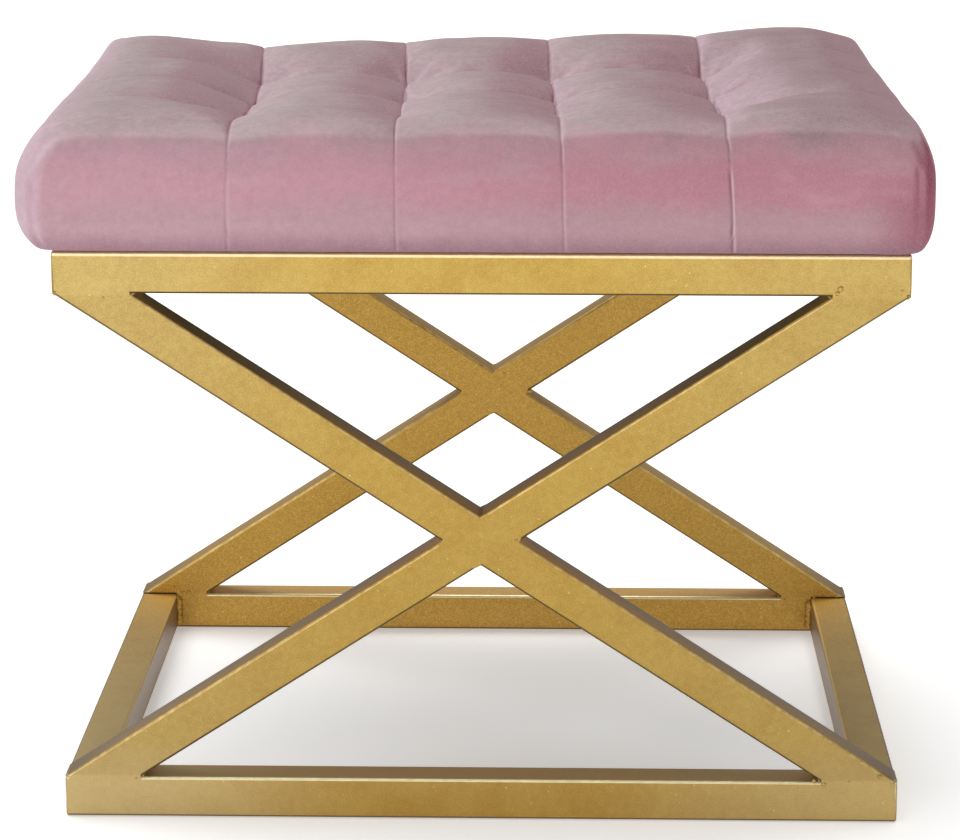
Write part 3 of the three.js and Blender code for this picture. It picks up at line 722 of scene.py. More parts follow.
def plywood_finish():
    material, shader, place = new_finish("plywood")
    veins = grain(stretched(place, ALONG_THE_BOARD), 1.0, 4.0, 0.6)
    height = axes_of(place)[2]
    plies = place.maths("PINGPONG", height, PLY_THICKNESS) / PLY_THICKNESS
    colour = mixed(ramped(veins, 0.3, 0.7), linear(196, 158, 108), linear(226, 194, 146))
    colour = mixed(ramped(plies, 0.35, 0.65, 0.0, 0.3), colour, linear(150, 108, 66))
    relief = bumped(veins, 0.3 * MM, 0.4)
    varying = {"Base Color": colour, "Roughness": 0.6 + veins * 0.25, "Normal": relief}
    return finished(material, shader, {}, varying)


def foam_finish():
    material, shader, place = new_finish("foam")
    pores = cells(place, 1.4 * MM)
    tone = grain(place, 30 * MM, 2.0)
    colour = mixed(ramped(pores + tone * 0.4, 0.2, 0.8), linear(214, 196, 140), linear(238, 226, 182))
    relief = bumped(pores, 0.5 * MM, 0.6)
    varying = {"Base Color": colour, "Roughness": 0.85 + tone * 0.1, "Normal": relief}
    return finished(material, shader, {"Subsurface Weight": 0.1}, varying)


plywood = plywood_finish()
foam = foam_finish()

# %% [markdown]
# The dust cover is black spun cloth, embossed with small dots in nearly regular rows. The tufting
# twine is waxed and twisted, so it carries slanting bands.


# %% Dust cloth and twine
TWINE_BANDS_PER_METRE = 620.0


def dust_cloth_finish():
    material, shader, place = new_finish("dust_cloth")
    embossed = ramped(cells(place, 1.6 * MM, 0.15), 0.18, 0.34)
    fibres = grain(place, 0.6 * MM, 4.0, 0.7)
    colour = mixed(ramped(fibres, 0.3, 0.7), linear(24, 24, 26), linear(48, 48, 51))
    colour = mixed(1 - embossed, colour, linear(66, 66, 70))
    relief = bumped(embossed, 0.12 * MM, 0.7, bumped(fibres, 0.1 * MM, 0.6))
    varying = {"Base Color": colour, "Roughness": 0.7 + embossed * 0.2, "Normal": relief}
    return finished(material, shader, {}, varying)


def twine_finish():
    material, shader, place = new_finish("twine")
    bands = {"Vector": place, "Scale": TWINE_BANDS_PER_METRE}
    lay = place.make("ShaderNodeTexWave", {"bands_direction": "DIAGONAL"}, bands)
    tone = grain(place, 6 * MM, 2.0)
    colour = mixed(ramped(lay + tone * 0.3, 0.2, 0.9), linear(176, 162, 130), linear(232, 222, 196))
    relief = bumped(lay, 0.2 * MM, 0.8)
    varying = {"Base Color": colour, "Roughness": 0.7 + tone * 0.2, "Normal": relief}
    return finished(material, shader, {}, varying)


dust_cloth = dust_cloth_finish()
waxed_twine = twine_finish()

# %% [markdown]
# The fixings are zinc plated steel, with faint spangles and fine scratches, and the toggles under
# the board are moulded nylon, which lets a little light in.


# %% Zinc and nylon
def zinc_finish():
    material, shader, place = new_finish("zinc_steel")
    spangle = grain(place, 3 * MM, 2.0)
    scratches = grain(place, 0.5 * MM, 3.0, 0.7)
    colour = mixed(ramped(spangle, 0.35, 0.65), linear(176, 180, 186), linear(216, 218, 216))
    relief = bumped(scratches, 0.03 * MM, 0.4)
    varying = {"Base Color": colour, "Roughness": 0.24 + scratches * 0.2, "Normal": relief}
    return finished(material, shader, {"Metallic": 1.0}, varying)


def nylon_finish():
    material, shader, place = new_finish("nylon")
    flow = grain(place, 4 * MM, 3.0)
    colour = mixed(ramped(flow, 0.3, 0.7), linear(222, 219, 208), linear(240, 238, 231))
    relief = bumped(flow, 0.05 * MM, 0.3)
    varying = {"Base Color": colour, "Roughness": 0.36 + flow * 0.15, "Normal": relief}
    return finished(material, shader, {"Subsurface Weight": 0.15}, varying)


zinc = zinc_finish()
nylon = nylon_finish()

# %% [markdown]
# ## Dressing the pieces that stay
# Tubes, board, twines, toggles and fixings already have their shape. They get their finish and a
# smooth shading over the tubes' round edges. The model's triangles don't share corners, so three
# modifiers do it: one welds the corners, one splits the sharp edges again, and one leans the
# normals towards the large faces, which keeps the flats flat.

# %% Finish and shading of the kept pieces
SHARP_ANGLE = math.radians(38)
SAME_CORNER = 0.001 * MM
KEPT_FINISHES = {
    "_rail": gold,
    "_diagonal": gold,
    "seat_board": plywood,
    "tuft_twine_": waxed_twine,
    "twine_toggle_": nylon,
    "_seat_bolt": zinc,
    "_t_nut": zinc,
}


def smoothly_shaded(piece):
    if "custom_normal" in piece.data.attributes:
        piece.data.attributes.remove(piece.data.attributes["custom_normal"])
    piece.data.shade_smooth()
    corners = piece.modifiers.new("Shared corners", "WELD")
    corners.merge_threshold = SAME_CORNER
    edges = piece.modifiers.new("Sharp edges", "EDGE_SPLIT")
    edges.split_angle = SHARP_ANGLE
    normals = piece.modifiers.new("Flat faces", "WEIGHTED_NORMAL")
    normals.keep_sharp = True


kept = 0
for node_name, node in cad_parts.items():
    for part_of_name, finish in KEPT_FINISHES.items():
        if part_of_name in node_name:
            node.data.materials.clear()
            node.data.materials.append(finish)
            smoothly_shaded(node)
            kept += 1
print("kept pieces:", kept)

# %% [markdown]
# ## Making meshes
# New pieces are made from lists of points and faces worked out with numpy. This helper turns them
# into an object that rides on the stool, gives it its finish, and hides the plain solids it stands
# for.


# %% New pieces
def mesh_piece(name, points, faces, material, slot, stands_for=(), sharp_from=0):
    mesh = bpy.data.meshes.new(name)
    mesh.from_pydata([tuple(point) for point in points], [], [tuple(face) for face in faces])
    mesh.validate()
    shape = bmesh.new()
    shape.from_mesh(mesh)
    bmesh.ops.recalc_face_normals(shape, faces=shape.faces)
    shape.to_mesh(mesh)
    shape.free()
    mesh.shade_smooth()
    if sharp_from:
        mesh.set_sharp_from_angle(angle=math.radians(sharp_from))
    mesh.materials.append(material)
    piece = bpy.data.objects.new(name, mesh)
    bpy.context.scene.collection.objects.link(piece)
    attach(piece, "root")
    if stands_for:
        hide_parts(*stands_for)
    return piece


def grid_quads(width, height):
    """The faces of a grid with so many points across and along."""
    quads = []
    for row in range(height - 1):
        for corner in range(row * width, row * width + width - 1):
            quads.append((corner, corner + 1, corner + width + 1, corner + width))
    return quads


def applied(piece):
    """The piece with its modifiers worked into its mesh."""
    bpy.context.view_layer.update()
    evaluated = piece.evaluated_get(bpy.context.evaluated_depsgraph_get())
    mesh = bpy.data.meshes.new_from_object(evaluated)
    piece.modifiers.clear()
    piece.data = mesh
    return piece


# %% [markdown]
# The seat and the cloth are shaped as arrays of points, because numpy moves thousands of points in
# one expression. These helpers fetch a mesh's points and normals, put the points back, and note
# numbers on them. `eased` is the soft step that most shapes here are made with.


# %% Points of a mesh
def points_of(piece):
    points = np.zeros(len(piece.data.vertices) * 3)
    piece.data.vertices.foreach_get("co", points)
    return points.reshape(-1, 3)


def normals_of(piece):
    normals = np.zeros(len(piece.data.vertices) * 3)
    piece.data.vertices.foreach_get("normal", normals)
    return normals.reshape(-1, 3)


def note_on_points(piece, name, values):
    """Keeps a number for each point under a name, which a finish can read."""
    notes = piece.data.attributes.new(name, "FLOAT", "POINT")
    notes.data.foreach_set("value", values.astype(np.float32))


def move_points(piece, points):
    piece.data.vertices.foreach_set("co", points.ravel())
    piece.data.update()


def eased(value, low, high):
    """0 below low, 1 above high, and a soft step between them."""
    share = np.clip((value - low) / (high - low), 0, 1)
    return share * share * (3 - 2 * share)


def unevenness(points, size, seed):
    """Soft random values from about -1 to 1 with blots of the given size."""
    shift = Vector((seed * 17.3, seed * 5.1, seed * 11.7))
    return np.array([noise.noise(Vector(point) / size + shift) for point in points]) * 2


# %% [markdown]
# ## Ground welds
# Where bars meet on a flat face the maker runs a weld and grinds it flush, so the joint nearly
# vanishes under the coat. A strip is laid along each joint on the outer and inner faces: its middle
# stands a few hundredths of a millimetre proud, and its edges dip just under the steel, so that it
# fills the groove between the tubes without a step. Its outline and its face waver a little.

# %% Flush strips
STRIP_REACH = 4.6 * MM
STRIP_CROWN = 0.035 * MM
STRIP_DIP = 0.03 * MM
STRIP_ROOT = 2.4 * MM
STRIP_OFFSET = 0.9 * MM
STRIP_STEPS = 24
STRIP_WAVINESS = 160
# The strip's upper side, as shares of its reach sideways and of its crown upwards
STRIP_SECTION = [(-1.0, -1.0), (-0.6, 0.6), (0.0, 1.0), (0.5, 0.8), (1.0, -1.0)]
STRIP_ROOT_SHARE = 0.4


def tube_faces(steps, ring):
    """The faces of a closed tube of points: rings joined in steps, with a cap at each end."""
    faces = []
    for step in range(steps):
        here = step * ring
        there = here + ring
        for corner in range(ring):
            following = (corner + 1) % ring
            faces.append((here + corner, here + following, there + following, there + corner))
    faces.append(tuple(range(ring))[::-1])
    faces.append(tuple(steps * ring + corner for corner in range(ring)))
    return faces


def flush_strip(start, end, outward, waver_seed, bar_side=None, tip_angle=SLOPE):
    """Points and faces of a strip from start to end on a face that looks outward. At a bar's
    pointed tip, which lies at the start, the strip stays narrower than the bar on the bar's side."""
    run = (end - start).normalized()
    side = outward.cross(run)
    points = []
    for step in range(STRIP_STEPS + 1):
        share = step / STRIP_STEPS
        middle = start.lerp(end, share)
        waver = noise.noise(middle * STRIP_WAVINESS + Vector((waver_seed, 0, 0)))
        taper = 1 - 0.25 * abs(2 * share - 1) ** 6
        reach = STRIP_REACH * taper * (1 + 0.16 * waver)
        for sideways, height in STRIP_SECTION:
            lift = STRIP_CROWN * (1 + waver) * height if height > 0 else -STRIP_DIP
            offset = side * reach * sideways
            if bar_side and offset.dot(bar_side) > 0:
                bar_width = (middle - start).length * math.tan(tip_angle) + STRIP_OFFSET
                offset *= min(1.0, bar_width / STRIP_REACH)
            points.append(middle + offset + outward * lift)
        points.append(middle + side * reach * STRIP_ROOT_SHARE - outward * STRIP_ROOT)
        points.append(middle - side * reach * STRIP_ROOT_SHARE - outward * STRIP_ROOT)
    return points, tube_faces(STRIP_STEPS, len(STRIP_SECTION) + 2)


# %% [markdown]
# In the corners the grinder can't reach, the weld keeps its round, rippled bead, and here and there
# a drop of metal stays on the face. A bead is a bent, uneven tube of points, and a drop is a small
# flattened ball. Both get their unevenness from noise that is read at their own place.

# %% Beads and drops
BEAD_STEP = 0.55 * MM
BEAD_SIDES = 14
RIPPLE_PITCH = 2.3 * MM
RIPPLE_HEIGHT_SHARE = 0.09
WANDER_WAVINESS = 190
BEAD_WAVINESS = 320


def lump(middle, radius, outward, seed):
    """A small weld bead or spatter: a flattened ball with a wavering surface."""
    ball = bmesh.new()
    bmesh.ops.create_icosphere(ball, subdivisions=3, radius=1.0)
    points = []
    for corner in ball.verts:
        direction = corner.co.copy()
        waver = 1 + 0.22 * noise.noise(direction * 1.7 + Vector((seed, seed, seed)))
        flat = direction - outward * direction.dot(outward) * 0.35
        points.append(middle + flat * radius * waver)
    faces = [tuple(corner.index for corner in face.verts) for face in ball.faces]
    ball.free()
    return points, faces


def bead(start, end, radius, seed, ripples=1.0, unrest=0.2):
    """A round weld bead between two points, rippled where each drop of metal froze."""
    run = (end - start).normalized()
    across = run.orthogonal().normalized()
    beside = run.cross(across)
    length = (end - start).length
    steps = max(12, int(length / BEAD_STEP))
    points = []
    for step in range(steps + 1):
        share = step / steps
        close = max(math.sqrt(max(0.0, 1 - abs(2 * share - 1) ** 8)), 0.05)
        wave = math.sin(share * length / RIPPLE_PITCH * 2 * math.pi)
        ripple = 1 + RIPPLE_HEIGHT_SHARE * ripples * wave
        middle = start.lerp(end, share)
        wander = 1.25 * unrest * radius * noise.noise(middle * WANDER_WAVINESS + Vector((seed, 0, seed)))
        for side in range(BEAD_SIDES):
            angle = 2 * math.pi * side / BEAD_SIDES
            around = across * math.cos(angle) + beside * math.sin(angle)
            spot = middle * BEAD_WAVINESS + around * 1.1 + Vector((0, seed, 0))
            waver = 1 + unrest * noise.noise(spot)
            points.append(middle + across * wander + around * radius * ripple * waver * close)
    return points, tube_faces(steps, BEAD_SIDES)


# %% [markdown]
# One weld is made of several such shapes. They are joined in one mesh, which gets the gold coat
# without edge lines. Its edges stay crisp above an angle, apart from the beads in the corners of
# the rings, which are round all over.

# %% One weld from several shapes
WELD_EDGE = 40


def joined(shapes):
    """Several lists of points and faces as one."""
    points = []
    faces = []
    for some_points, some_faces in shapes:
        first = len(points)
        points += list(some_points)
        faces += [tuple(corner + first for corner in face) for face in some_faces]
    return points, faces


def weld_piece(name, shapes, stands_for=(), sharp_from=WELD_EDGE):
    """One weld made of several shapes, with crisp edges above an angle in degrees."""
    points, faces = joined(shapes)
    return mesh_piece(name, points, faces, weld_gold, "gold_powder_coat", stands_for, sharp_from)


# %% [markdown]
# Each end of a bar on a rail gets one weld piece: two flush strips, a bead across the sharp inner
# notch, and the blobs that were left after grinding. On the outer face the strip runs to the
# corner. On the inner face it stops at the side rail, where the bar only rests. The right joints
# were ground less well than the left ones, so they keep larger blobs.

# %% Blobs
FRONTWARD = Vector((0, -1, 0))
# Blobs as x, height and radius in millimetres, on the face that looks to the front
BLOBS = {
    "front_left_top": [(-219.6, 318.7, 0.7)],
    "front_right_top": [(208.7, 325.8, 1.7), (207.0, 323.1, 1.3), (244.5, 324.6, 1.0)],
    "front_left_bottom": [(-207.2, 24.2, 0.9)],
    "front_right_bottom": [
        (205.9, 23.5, 1.5), (199.8, 25.9, 1.1), (220.8, 25.4, 0.8),
        (239.2, 28.7, 1.5), (247.1, 23.7, 1.4), (190.4, 21.0, 0.6),
    ],
    "rear_left_bottom": [(-220.4, 25.7, 1.3), (-216.6, 25.9, 1.4), (-226.9, 29.7, 0.9)],
    "rear_right_bottom": [(206.1, 24.0, 1.0), (227.5, 24.9, 1.2), (243.4, 26.2, 1.3)],
    "front_crossing": [(21.4, 173.8, 0.9)],
    "rear_crossing": [(25.3, 174.2, 1.5), (7.8, 186.5, 1.1)],
}


def blobs_of(name, side_y):
    """The blobs of one joint, on the face of its frame that looks to the front."""
    y = -HALF_DEPTH if side_y < 0 else HALF_DEPTH - TUBE
    return [
        lump(Vector((x * MM, y, z * MM)), radius * MM, FRONTWARD, x)
        for x, z, radius in BLOBS.get(name, [])
    ]


print("blobs:", sum(len(blobs) for blobs in BLOBS.values()))

# %% Welds of the bars on the rails
NOTCH_BEAD = 1.3 * MM
GROUND_CORNER = 2.7 * MM
TIP_INSET = 1.9 * MM
TIP_LUMP = 1.7 * MM


def bar_weld(end, side_x, place, side_y):
    """The weld where a bar meets a rail in one corner of one frame."""
    name = f"{end}_{'left' if side_x < 0 else 'right'}_{place}"
    rail_side = 1 if place == "top" else -1
    height = RAIL_TOP - TUBE if place == "top" else TUBE
    face_y = side_y * HALF_DEPTH
    inner_y = face_y - side_y * TUBE
    notch_x = side_x * (HALF_WIDTH - FOOTPRINT)
    strip_height = height + rail_side * STRIP_OFFSET
    bar_side = Vector((0, 0, -rail_side))
    corner = Vector((side_x * (HALF_WIDTH - GROUND_CORNER), face_y, strip_height))
    outer_end = Vector((notch_x, face_y, strip_height))
    side_rail = Vector((side_x * (HALF_WIDTH - TUBE), inner_y, strip_height))
    inner_end = Vector((notch_x, inner_y, strip_height))
    outward = Vector((0, side_y, 0))
    notch = Vector((notch_x - side_x * MM, face_y - side_y * MM, height - rail_side * 0.5 * MM))
    far_notch = Vector((notch.x, inner_y + side_y * MM, notch.z))
    tip = Vector((side_x * (HALF_WIDTH - TIP_INSET), face_y - side_y * TIP_INSET, height))
    shapes = [
        flush_strip(corner, outer_end, outward, notch_x * 90, bar_side),
        flush_strip(side_rail, inner_end, -outward, notch_x * 70),
        bead(notch, far_notch, NOTCH_BEAD, notch_x * 40 + face_y * 30),
        *blobs_of(name, side_y),
        lump(tip, TIP_LUMP, outward, notch_x * 20 + face_y * 50),
    ]
    return weld_piece(f"{name}_bar_weld", shapes)


bar_welds = [
    bar_weld(end, side_x, place, side_y)
    for end, side_y in (("front", -1), ("rear", 1))
    for side_x in (-1, 1)
    for place in ("top", "bottom")
]
print("bar welds:", len(bar_welds))

# %% [markdown]
# The two short bars of each X butt on the long one. Their joints share one weld piece a frame:
# flush strips along both edges of the long bar, on the outer and inner faces, and a thin bead in
# each of the four notches.

# %% Welds of the crossings
CROSSING_BEAD = 0.7 * MM
CROSSING_STRIP_INSET = 0.8 * MM
CROSSING_BEAD_OFFSET = 0.1 * MM


def crossing_weld(end, side_y):
    """The weld of one crossing. The long bar falls to the right, the short bars meet its sides."""
    falling = Vector((math.cos(SLOPE), 0, -math.sin(SLOPE)))
    off_bar = Vector((math.sin(SLOPE), 0, math.cos(SLOPE)))
    half_joint = TUBE / math.sin(2 * SLOPE) / 2
    slip = TUBE / 2 / math.tan(2 * SLOPE)
    centre = Vector((0, 0, RAIL_TOP / 2))
    face = Vector((0, side_y * HALF_DEPTH, 0))
    inner = Vector((0, side_y * (HALF_DEPTH - TUBE), 0))
    outward = Vector((0, side_y, 0))
    shapes = []
    for side in (-1, 1):
        middle = centre + side * (falling * slip + off_bar * TUBE / 2)
        edge = middle - off_bar * side * CROSSING_STRIP_INSET
        for level, facing in ((face, outward), (inner, -outward)):
            start = edge - falling * side * half_joint + level
            stop = edge + falling * side * half_joint + level
            seed = side * 3 + side_y
            shapes.append(flush_strip(start, stop, facing, seed, off_bar * side, 2 * SLOPE))
        for notch_side in (-1, 1):
            notch = middle + falling * notch_side * half_joint
            notch += (notch - centre).normalized() * CROSSING_BEAD_OFFSET
            near = notch + face - outward * MM
            far = notch + inner + outward * MM
            shapes.append(bead(near, far, CROSSING_BEAD, notch.x * 50 + side_y, 0.5, 0.15))
    name = f"{end}_crossing"
    return weld_piece(f"{name}_weld", [*shapes, *blobs_of(name, side_y)])


crossing_welds = [crossing_weld("front", -1), crossing_weld("rear", 1)]
print("crossing welds:", [piece.name for piece in crossing_welds])

# %% [markdown]
# The corners of the two rings are mitred. Inside each corner stands a heavier bead, which the model
# holds as a plain rounded post. A rippled bead takes its place, with a thin cap down the outer edge
# where the mitre was ground round.

# %% Welds of the ring corners
CORNER_BEAD = 2.9 * MM
CORNER_BEAD_OFFSET = 0.9 * MM
CORNER_BEAD_INSET = 1.8 * MM
CORNER_CAP = 2.6 * MM
CORNER_CAP_INSET = 1.4 * MM


def upright_bead(x, y, rail_bottom, inset, radius, seed, ripples, unrest):
    """A bead that stands on end over a rail's height, less an inset at both ends."""
    start = Vector((x, y, rail_bottom + inset))
    stop = Vector((x, y, rail_bottom + TUBE - inset))
    return bead(start, stop, radius, seed, ripples, unrest)


def corner_weld(node_name):
    low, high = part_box(node_name)
    middle = (low + high) / 2
    side_x = math.copysign(1, middle.x)
    side_y = math.copysign(1, middle.y)
    rail_bottom = 0 if middle.z < RAIL_TOP / 2 else RAIL_TOP - TUBE
    inner_x = side_x * (HALF_WIDTH - TUBE - CORNER_BEAD_OFFSET)
    inner_y = side_y * (HALF_DEPTH - TUBE - CORNER_BEAD_OFFSET)
    cap_x = side_x * (HALF_WIDTH - CORNER_CAP)
    cap_y = side_y * (HALF_DEPTH - CORNER_CAP)
    seed = middle.x * 30 + middle.z * 50
    shapes = [
        upright_bead(inner_x, inner_y, rail_bottom, CORNER_BEAD_INSET, CORNER_BEAD, seed, 0.7, 0.34),
        upright_bead(cap_x, cap_y, rail_bottom, CORNER_CAP_INSET, CORNER_CAP, 0.5, 0.0, 0.03),
    ]
    name = node_name.replace("_weld", "_corner_bead")
    return weld_piece(name, shapes, [node_name], sharp_from=0)


corner_welds = [corner_weld(name) for name in sorted(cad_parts) if name.endswith("_weld")]
print("corner welds:", len(corner_welds))

# %% [markdown]
# ## The shape of the seat
# The seat is a block of foam on a board, under a velvet cover that is pulled down at twelve points
# by twine and sewn along the lines between them. Seen from above, the twine sets the grid, so its
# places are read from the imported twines. The top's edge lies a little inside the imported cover's
# box, because the sides bulge past it.

# %% Plan of the seat
TOP_TUCK_IN = 8 * MM

cover_low, cover_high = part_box("velvet_cover")
CREST = cover_high.z
HEM_HEIGHT = cover_low.z
EDGE_HALF_WIDTH = cover_high.x - TOP_TUCK_IN
EDGE_HALF_DEPTH = cover_high.y - TOP_TUCK_IN

twines = sorted(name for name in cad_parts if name.startswith("tuft_twine_"))
twine_places = [(sum(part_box(name), Vector()) / 2).xy for name in twines]
SEAMS_ACROSS = sorted({round(place.x, 4) for place in twine_places})
SEAMS_ALONG = sorted({round(place.y, 4) for place in twine_places})
PITCH = SEAMS_ACROSS[1] - SEAMS_ACROSS[0]
print("tufts:", len(twines), "pitch in mm:", round(PITCH / MM, 1), "crest in mm:", round(CREST / MM, 1))


def valley(place, seams, power):
    """1 on a seam, falling to 0 in the middle of a panel."""
    nearest = np.min(np.abs(place[..., None] - np.array(seams)), axis=-1)
    return np.maximum(0, 1 - nearest / (PITCH / 2)) ** power


def border_share(place, seams, half):
    """0 on the outermost seam and inside it, 1 at the top edge."""
    return np.clip((np.abs(place) - seams[-1]) / (half - seams[-1]), 0, 1)


# %% [markdown]
# No sewn and used seat is quite regular. The foam has settled a little to the left and more to the
# rear, where the edge dips and rises. The sewing wanders by a few millimetres, and the seat leans
# to the left towards the rear. The tables hold these faults at the places where they were read, and
# the numbers between are interpolated. Down the sides the seams run straighter.

# %% Settling and drift
SIDE_LEAN = 2.3 * MM
REAR_LEAN = 2.7 * MM
REAR_DROP = 2.5 * MM
HIGHEST_GAIN = 1.2 * MM
SEAT_SHIFT = -3.5 * MM
SIDE_STRAIGHTENING = 0.75
# How much lower than the plain lean the rear edge lies, along x, in millimetres
REAR_SETTLING_PLACES = (-238, -205, -180, -120, -80, -50, -10, 30, 75, 105, 145, 190, 215, 238)
REAR_SETTLING_DEPTHS = (-2.6, 0.3, 2.8, 3.0, 2.6, 0.8, 1.4, 0.0, 0.2, -0.8, -0.2, -0.4, -0.4, -1.6)
# Drift in x of the left edge, the four seams and the right edge, in millimetres. The rows are the
# front edge, the three rows of tufts and the rear edge
DRIFTS = [
    (4, 2, 0, -3, -6, 0),
    (-0.5, -1, -3, -5, -4, -2.5),
    (-2.2, -1, -5, -7, -7, -4),
    (-4, -5, -7, -10, -8, -6),
    (-4, -13, -13, -13, -9, -8),
]


def settling(x, y):
    """How the foam has settled: the left a little lower than the right, and the rear lowest."""
    to_right = x / EDGE_HALF_WIDTH
    to_rear = (1 + y / EDGE_HALF_DEPTH) / 2
    rear_depth = np.interp(x / MM, REAR_SETTLING_PLACES, REAR_SETTLING_DEPTHS) * MM
    lean = SIDE_LEAN * to_right - HIGHEST_GAIN + to_rear * (REAR_LEAN * to_right - REAR_DROP)
    return lean - rear_depth * eased(to_rear, 0.6, 0.95)


def drift(x, y, down_share=0.0):
    """How far a place moves in x because the sewing wanders from its straight lines."""
    moved = np.zeros(np.broadcast(x, y).shape)
    columns = [-EDGE_HALF_WIDTH, *SEAMS_ACROSS, EDGE_HALF_WIDTH]
    rows = [-EDGE_HALF_DEPTH, *SEAMS_ALONG, EDGE_HALF_DEPTH]
    to_seam = 1 - SIDE_STRAIGHTENING * down_share
    for row, shifts in enumerate(DRIFTS):
        weights = [1.0 if number == row else 0.0 for number in range(len(rows))]
        shifted = [shift * MM for shift in shifts]
        moved = moved + np.interp(x, columns, shifted) * to_seam * np.interp(y, rows, weights)
    return moved + np.interp(np.abs(x), [SEAMS_ACROSS[-1], EDGE_HALF_WIDTH], [0, SEAT_SHIFT])


print("drift of the left edge in mm:", [shifts[0] for shifts in DRIFTS])

# %% [markdown]
# The heights follow the same rules as the solid: panels swell between V-shaped valleys, the valleys
# are deepest at the tufts and run out towards the edge, the middle of the seat has sunk, and the
# top rolls down before it turns into the sides. At the rear corners the border stands up a little.

# %% Heights of the top
EDGE_DROP = 8 * MM
EDGE_ROLL = 40 * MM
MIDDLE_SINK = 9 * MM
BORDER_RISE_SHARE = 0.45
PANEL_POWER = 2.6
TUFT_DEPTH = 27 * MM
ROW_SEAM_DEPTH = 15 * MM
ROW_EDGE_DEPTH = 0.2 * MM
ROW_FADING = 1.7
COLUMN_SEAM_DEPTH = 18 * MM
COLUMN_FRONT_DEPTH = 3.5 * MM
COLUMN_FRONT_FADING = 2
COLUMN_REAR_DEPTH = 1.0 * MM
COLUMN_REAR_FADING = 3
REAR_LEFT_RISE = 5.5 * MM
REAR_RIGHT_RISE = 2 * MM
CORNER_RISE_POWER = 1.5


def edge_roll(place, half):
    """How far down the roll a place lies: 0 inside it, 1 at the edge."""
    return np.maximum(0, 1 - (half - np.abs(place)) / EDGE_ROLL) ** 2


def seat_top(x, y, slack):
    """Height of the cover over a place inside the top edge, with panels lower by the slack."""
    at_rear = y > 0
    at_rear_left = at_rear * (x < 0)
    across = valley(x, SEAMS_ACROSS, PANEL_POWER)
    along = valley(y, SEAMS_ALONG, PANEL_POWER)
    out_x = border_share(x, SEAMS_ACROSS, EDGE_HALF_WIDTH)
    out_y = border_share(y, SEAMS_ALONG, EDGE_HALF_DEPTH)
    roll_x = edge_roll(x, EDGE_HALF_WIDTH)
    roll_y = edge_roll(y, EDGE_HALF_DEPTH)
    edge_depth = np.where(at_rear, COLUMN_REAR_DEPTH, COLUMN_FRONT_DEPTH)
    fading = (1 - out_y) ** np.where(at_rear, COLUMN_REAR_FADING, COLUMN_FRONT_FADING)
    across_depth = edge_depth + (COLUMN_SEAM_DEPTH - edge_depth) * fading
    along_depth = ROW_EDGE_DEPTH + (ROW_SEAM_DEPTH - ROW_EDGE_DEPTH) * (1 - out_x) ** ROW_FADING
    rise = np.where(x < 0, REAR_LEFT_RISE, REAR_RIGHT_RISE)
    corner_rise = rise * at_rear * (out_x * out_y) ** CORNER_RISE_POWER
    inner_x = np.maximum(0, 1 - out_x / BORDER_RISE_SHARE)
    inner_y = np.maximum(0, 1 - out_y / BORDER_RISE_SHARE)
    return (
        CREST
        + settling(x, y)
        + corner_rise
        - EDGE_DROP * (roll_x + roll_y - roll_x * roll_y * at_rear_left)
        - across_depth * across * (1 - along)
        - along_depth * along * (1 - across)
        - TUFT_DEPTH * across * along
        - MIDDLE_SINK * inner_x * inner_y * (1 - across) * (1 - along)
        - slack * (1 - across * (1 - out_y) ** 2) * (1 - along * (1 - out_x) ** 2)
    )


front_left_tuft = (np.array(SEAMS_ACROSS[0]), np.array(SEAMS_ALONG[0]))
print("height of the front left tuft in mm:", round(float(seat_top(*front_left_tuft, 0.0)) / MM, 1))

# %% [markdown]
# The sides bulge to their widest at two fifths of the way down and then tuck in towards the hem.
# The left side has been pushed out further than the right one, so each side has its own numbers,
# which blend into one another over the corners.

# %% Bulge of the sides
WIDEST_SHARE = 0.4
# How each side tucks in below, as depth in millimetres and power, and how far it bulges past the solid
FRONT_TUCK = (9.0, 5.0, 0.0)
LEFT_TUCK = (13.4, 4.0, 4.4)
RIGHT_TUCK = (7.3, 6.0, 1.5)
SIDE_BLEND = 30 * MM


def side_growth(x, down_share):
    """How far outside the top edge the side lies, from the top edge (0) to the bottom (1)."""
    to_left = eased(-x, EDGE_HALF_WIDTH - SIDE_BLEND, EDGE_HALF_WIDTH)
    to_right = eased(x, EDGE_HALF_WIDTH - SIDE_BLEND, EDGE_HALF_WIDTH)
    depth, power, bulge = [
        front + (left - front) * to_left + (right - front) * to_right
        for front, left, right in zip(FRONT_TUCK, LEFT_TUCK, RIGHT_TUCK)
    ]
    above = max(0.0, 1 - down_share / WIDEST_SHARE) ** 2
    below = max(0.0, (down_share - WIDEST_SHARE) / (1 - WIDEST_SHARE)) ** power
    return (TOP_TUCK_IN + bulge * MM) * (1 - above) - depth * MM * below


def with_round_corners(x, y, half_width, half_depth, radius):
    """Places in a rectangle moved so that its corners become round."""
    past_x = np.abs(x) - (half_width - radius)
    past_y = np.abs(y) - (half_depth - radius)
    in_corner = (past_x > 0) & (past_y > 0)
    straight = np.maximum(past_x, past_y)
    slanting = np.maximum(np.hypot(past_x, past_y), 1e-9)
    reach = np.where(in_corner, straight / slanting, 1)
    round_x = np.sign(x) * (half_width - radius + past_x * reach)
    round_y = np.sign(y) * (half_depth - radius + past_y * reach)
    return np.where(in_corner, round_x, x), np.where(in_corner, round_y, y)


widest = [side_growth(x, WIDEST_SHARE) for x in (-EDGE_HALF_WIDTH, 0.0, EDGE_HALF_WIDTH)]
print("bulge left, front and right in mm:", [round(float(growth) / MM, 1) for growth in widest])

# %% [markdown]
# ## Laying out the cover's mesh
# The cover starts as one even sheet of quads: a grid over the top whose lines fall on the seams and
# crowd close to them, loops down the sides, and a hem turned under the board. The grid's lines and
# the loop of points round its border are worked out first, because every part of the sheet uses
# them.

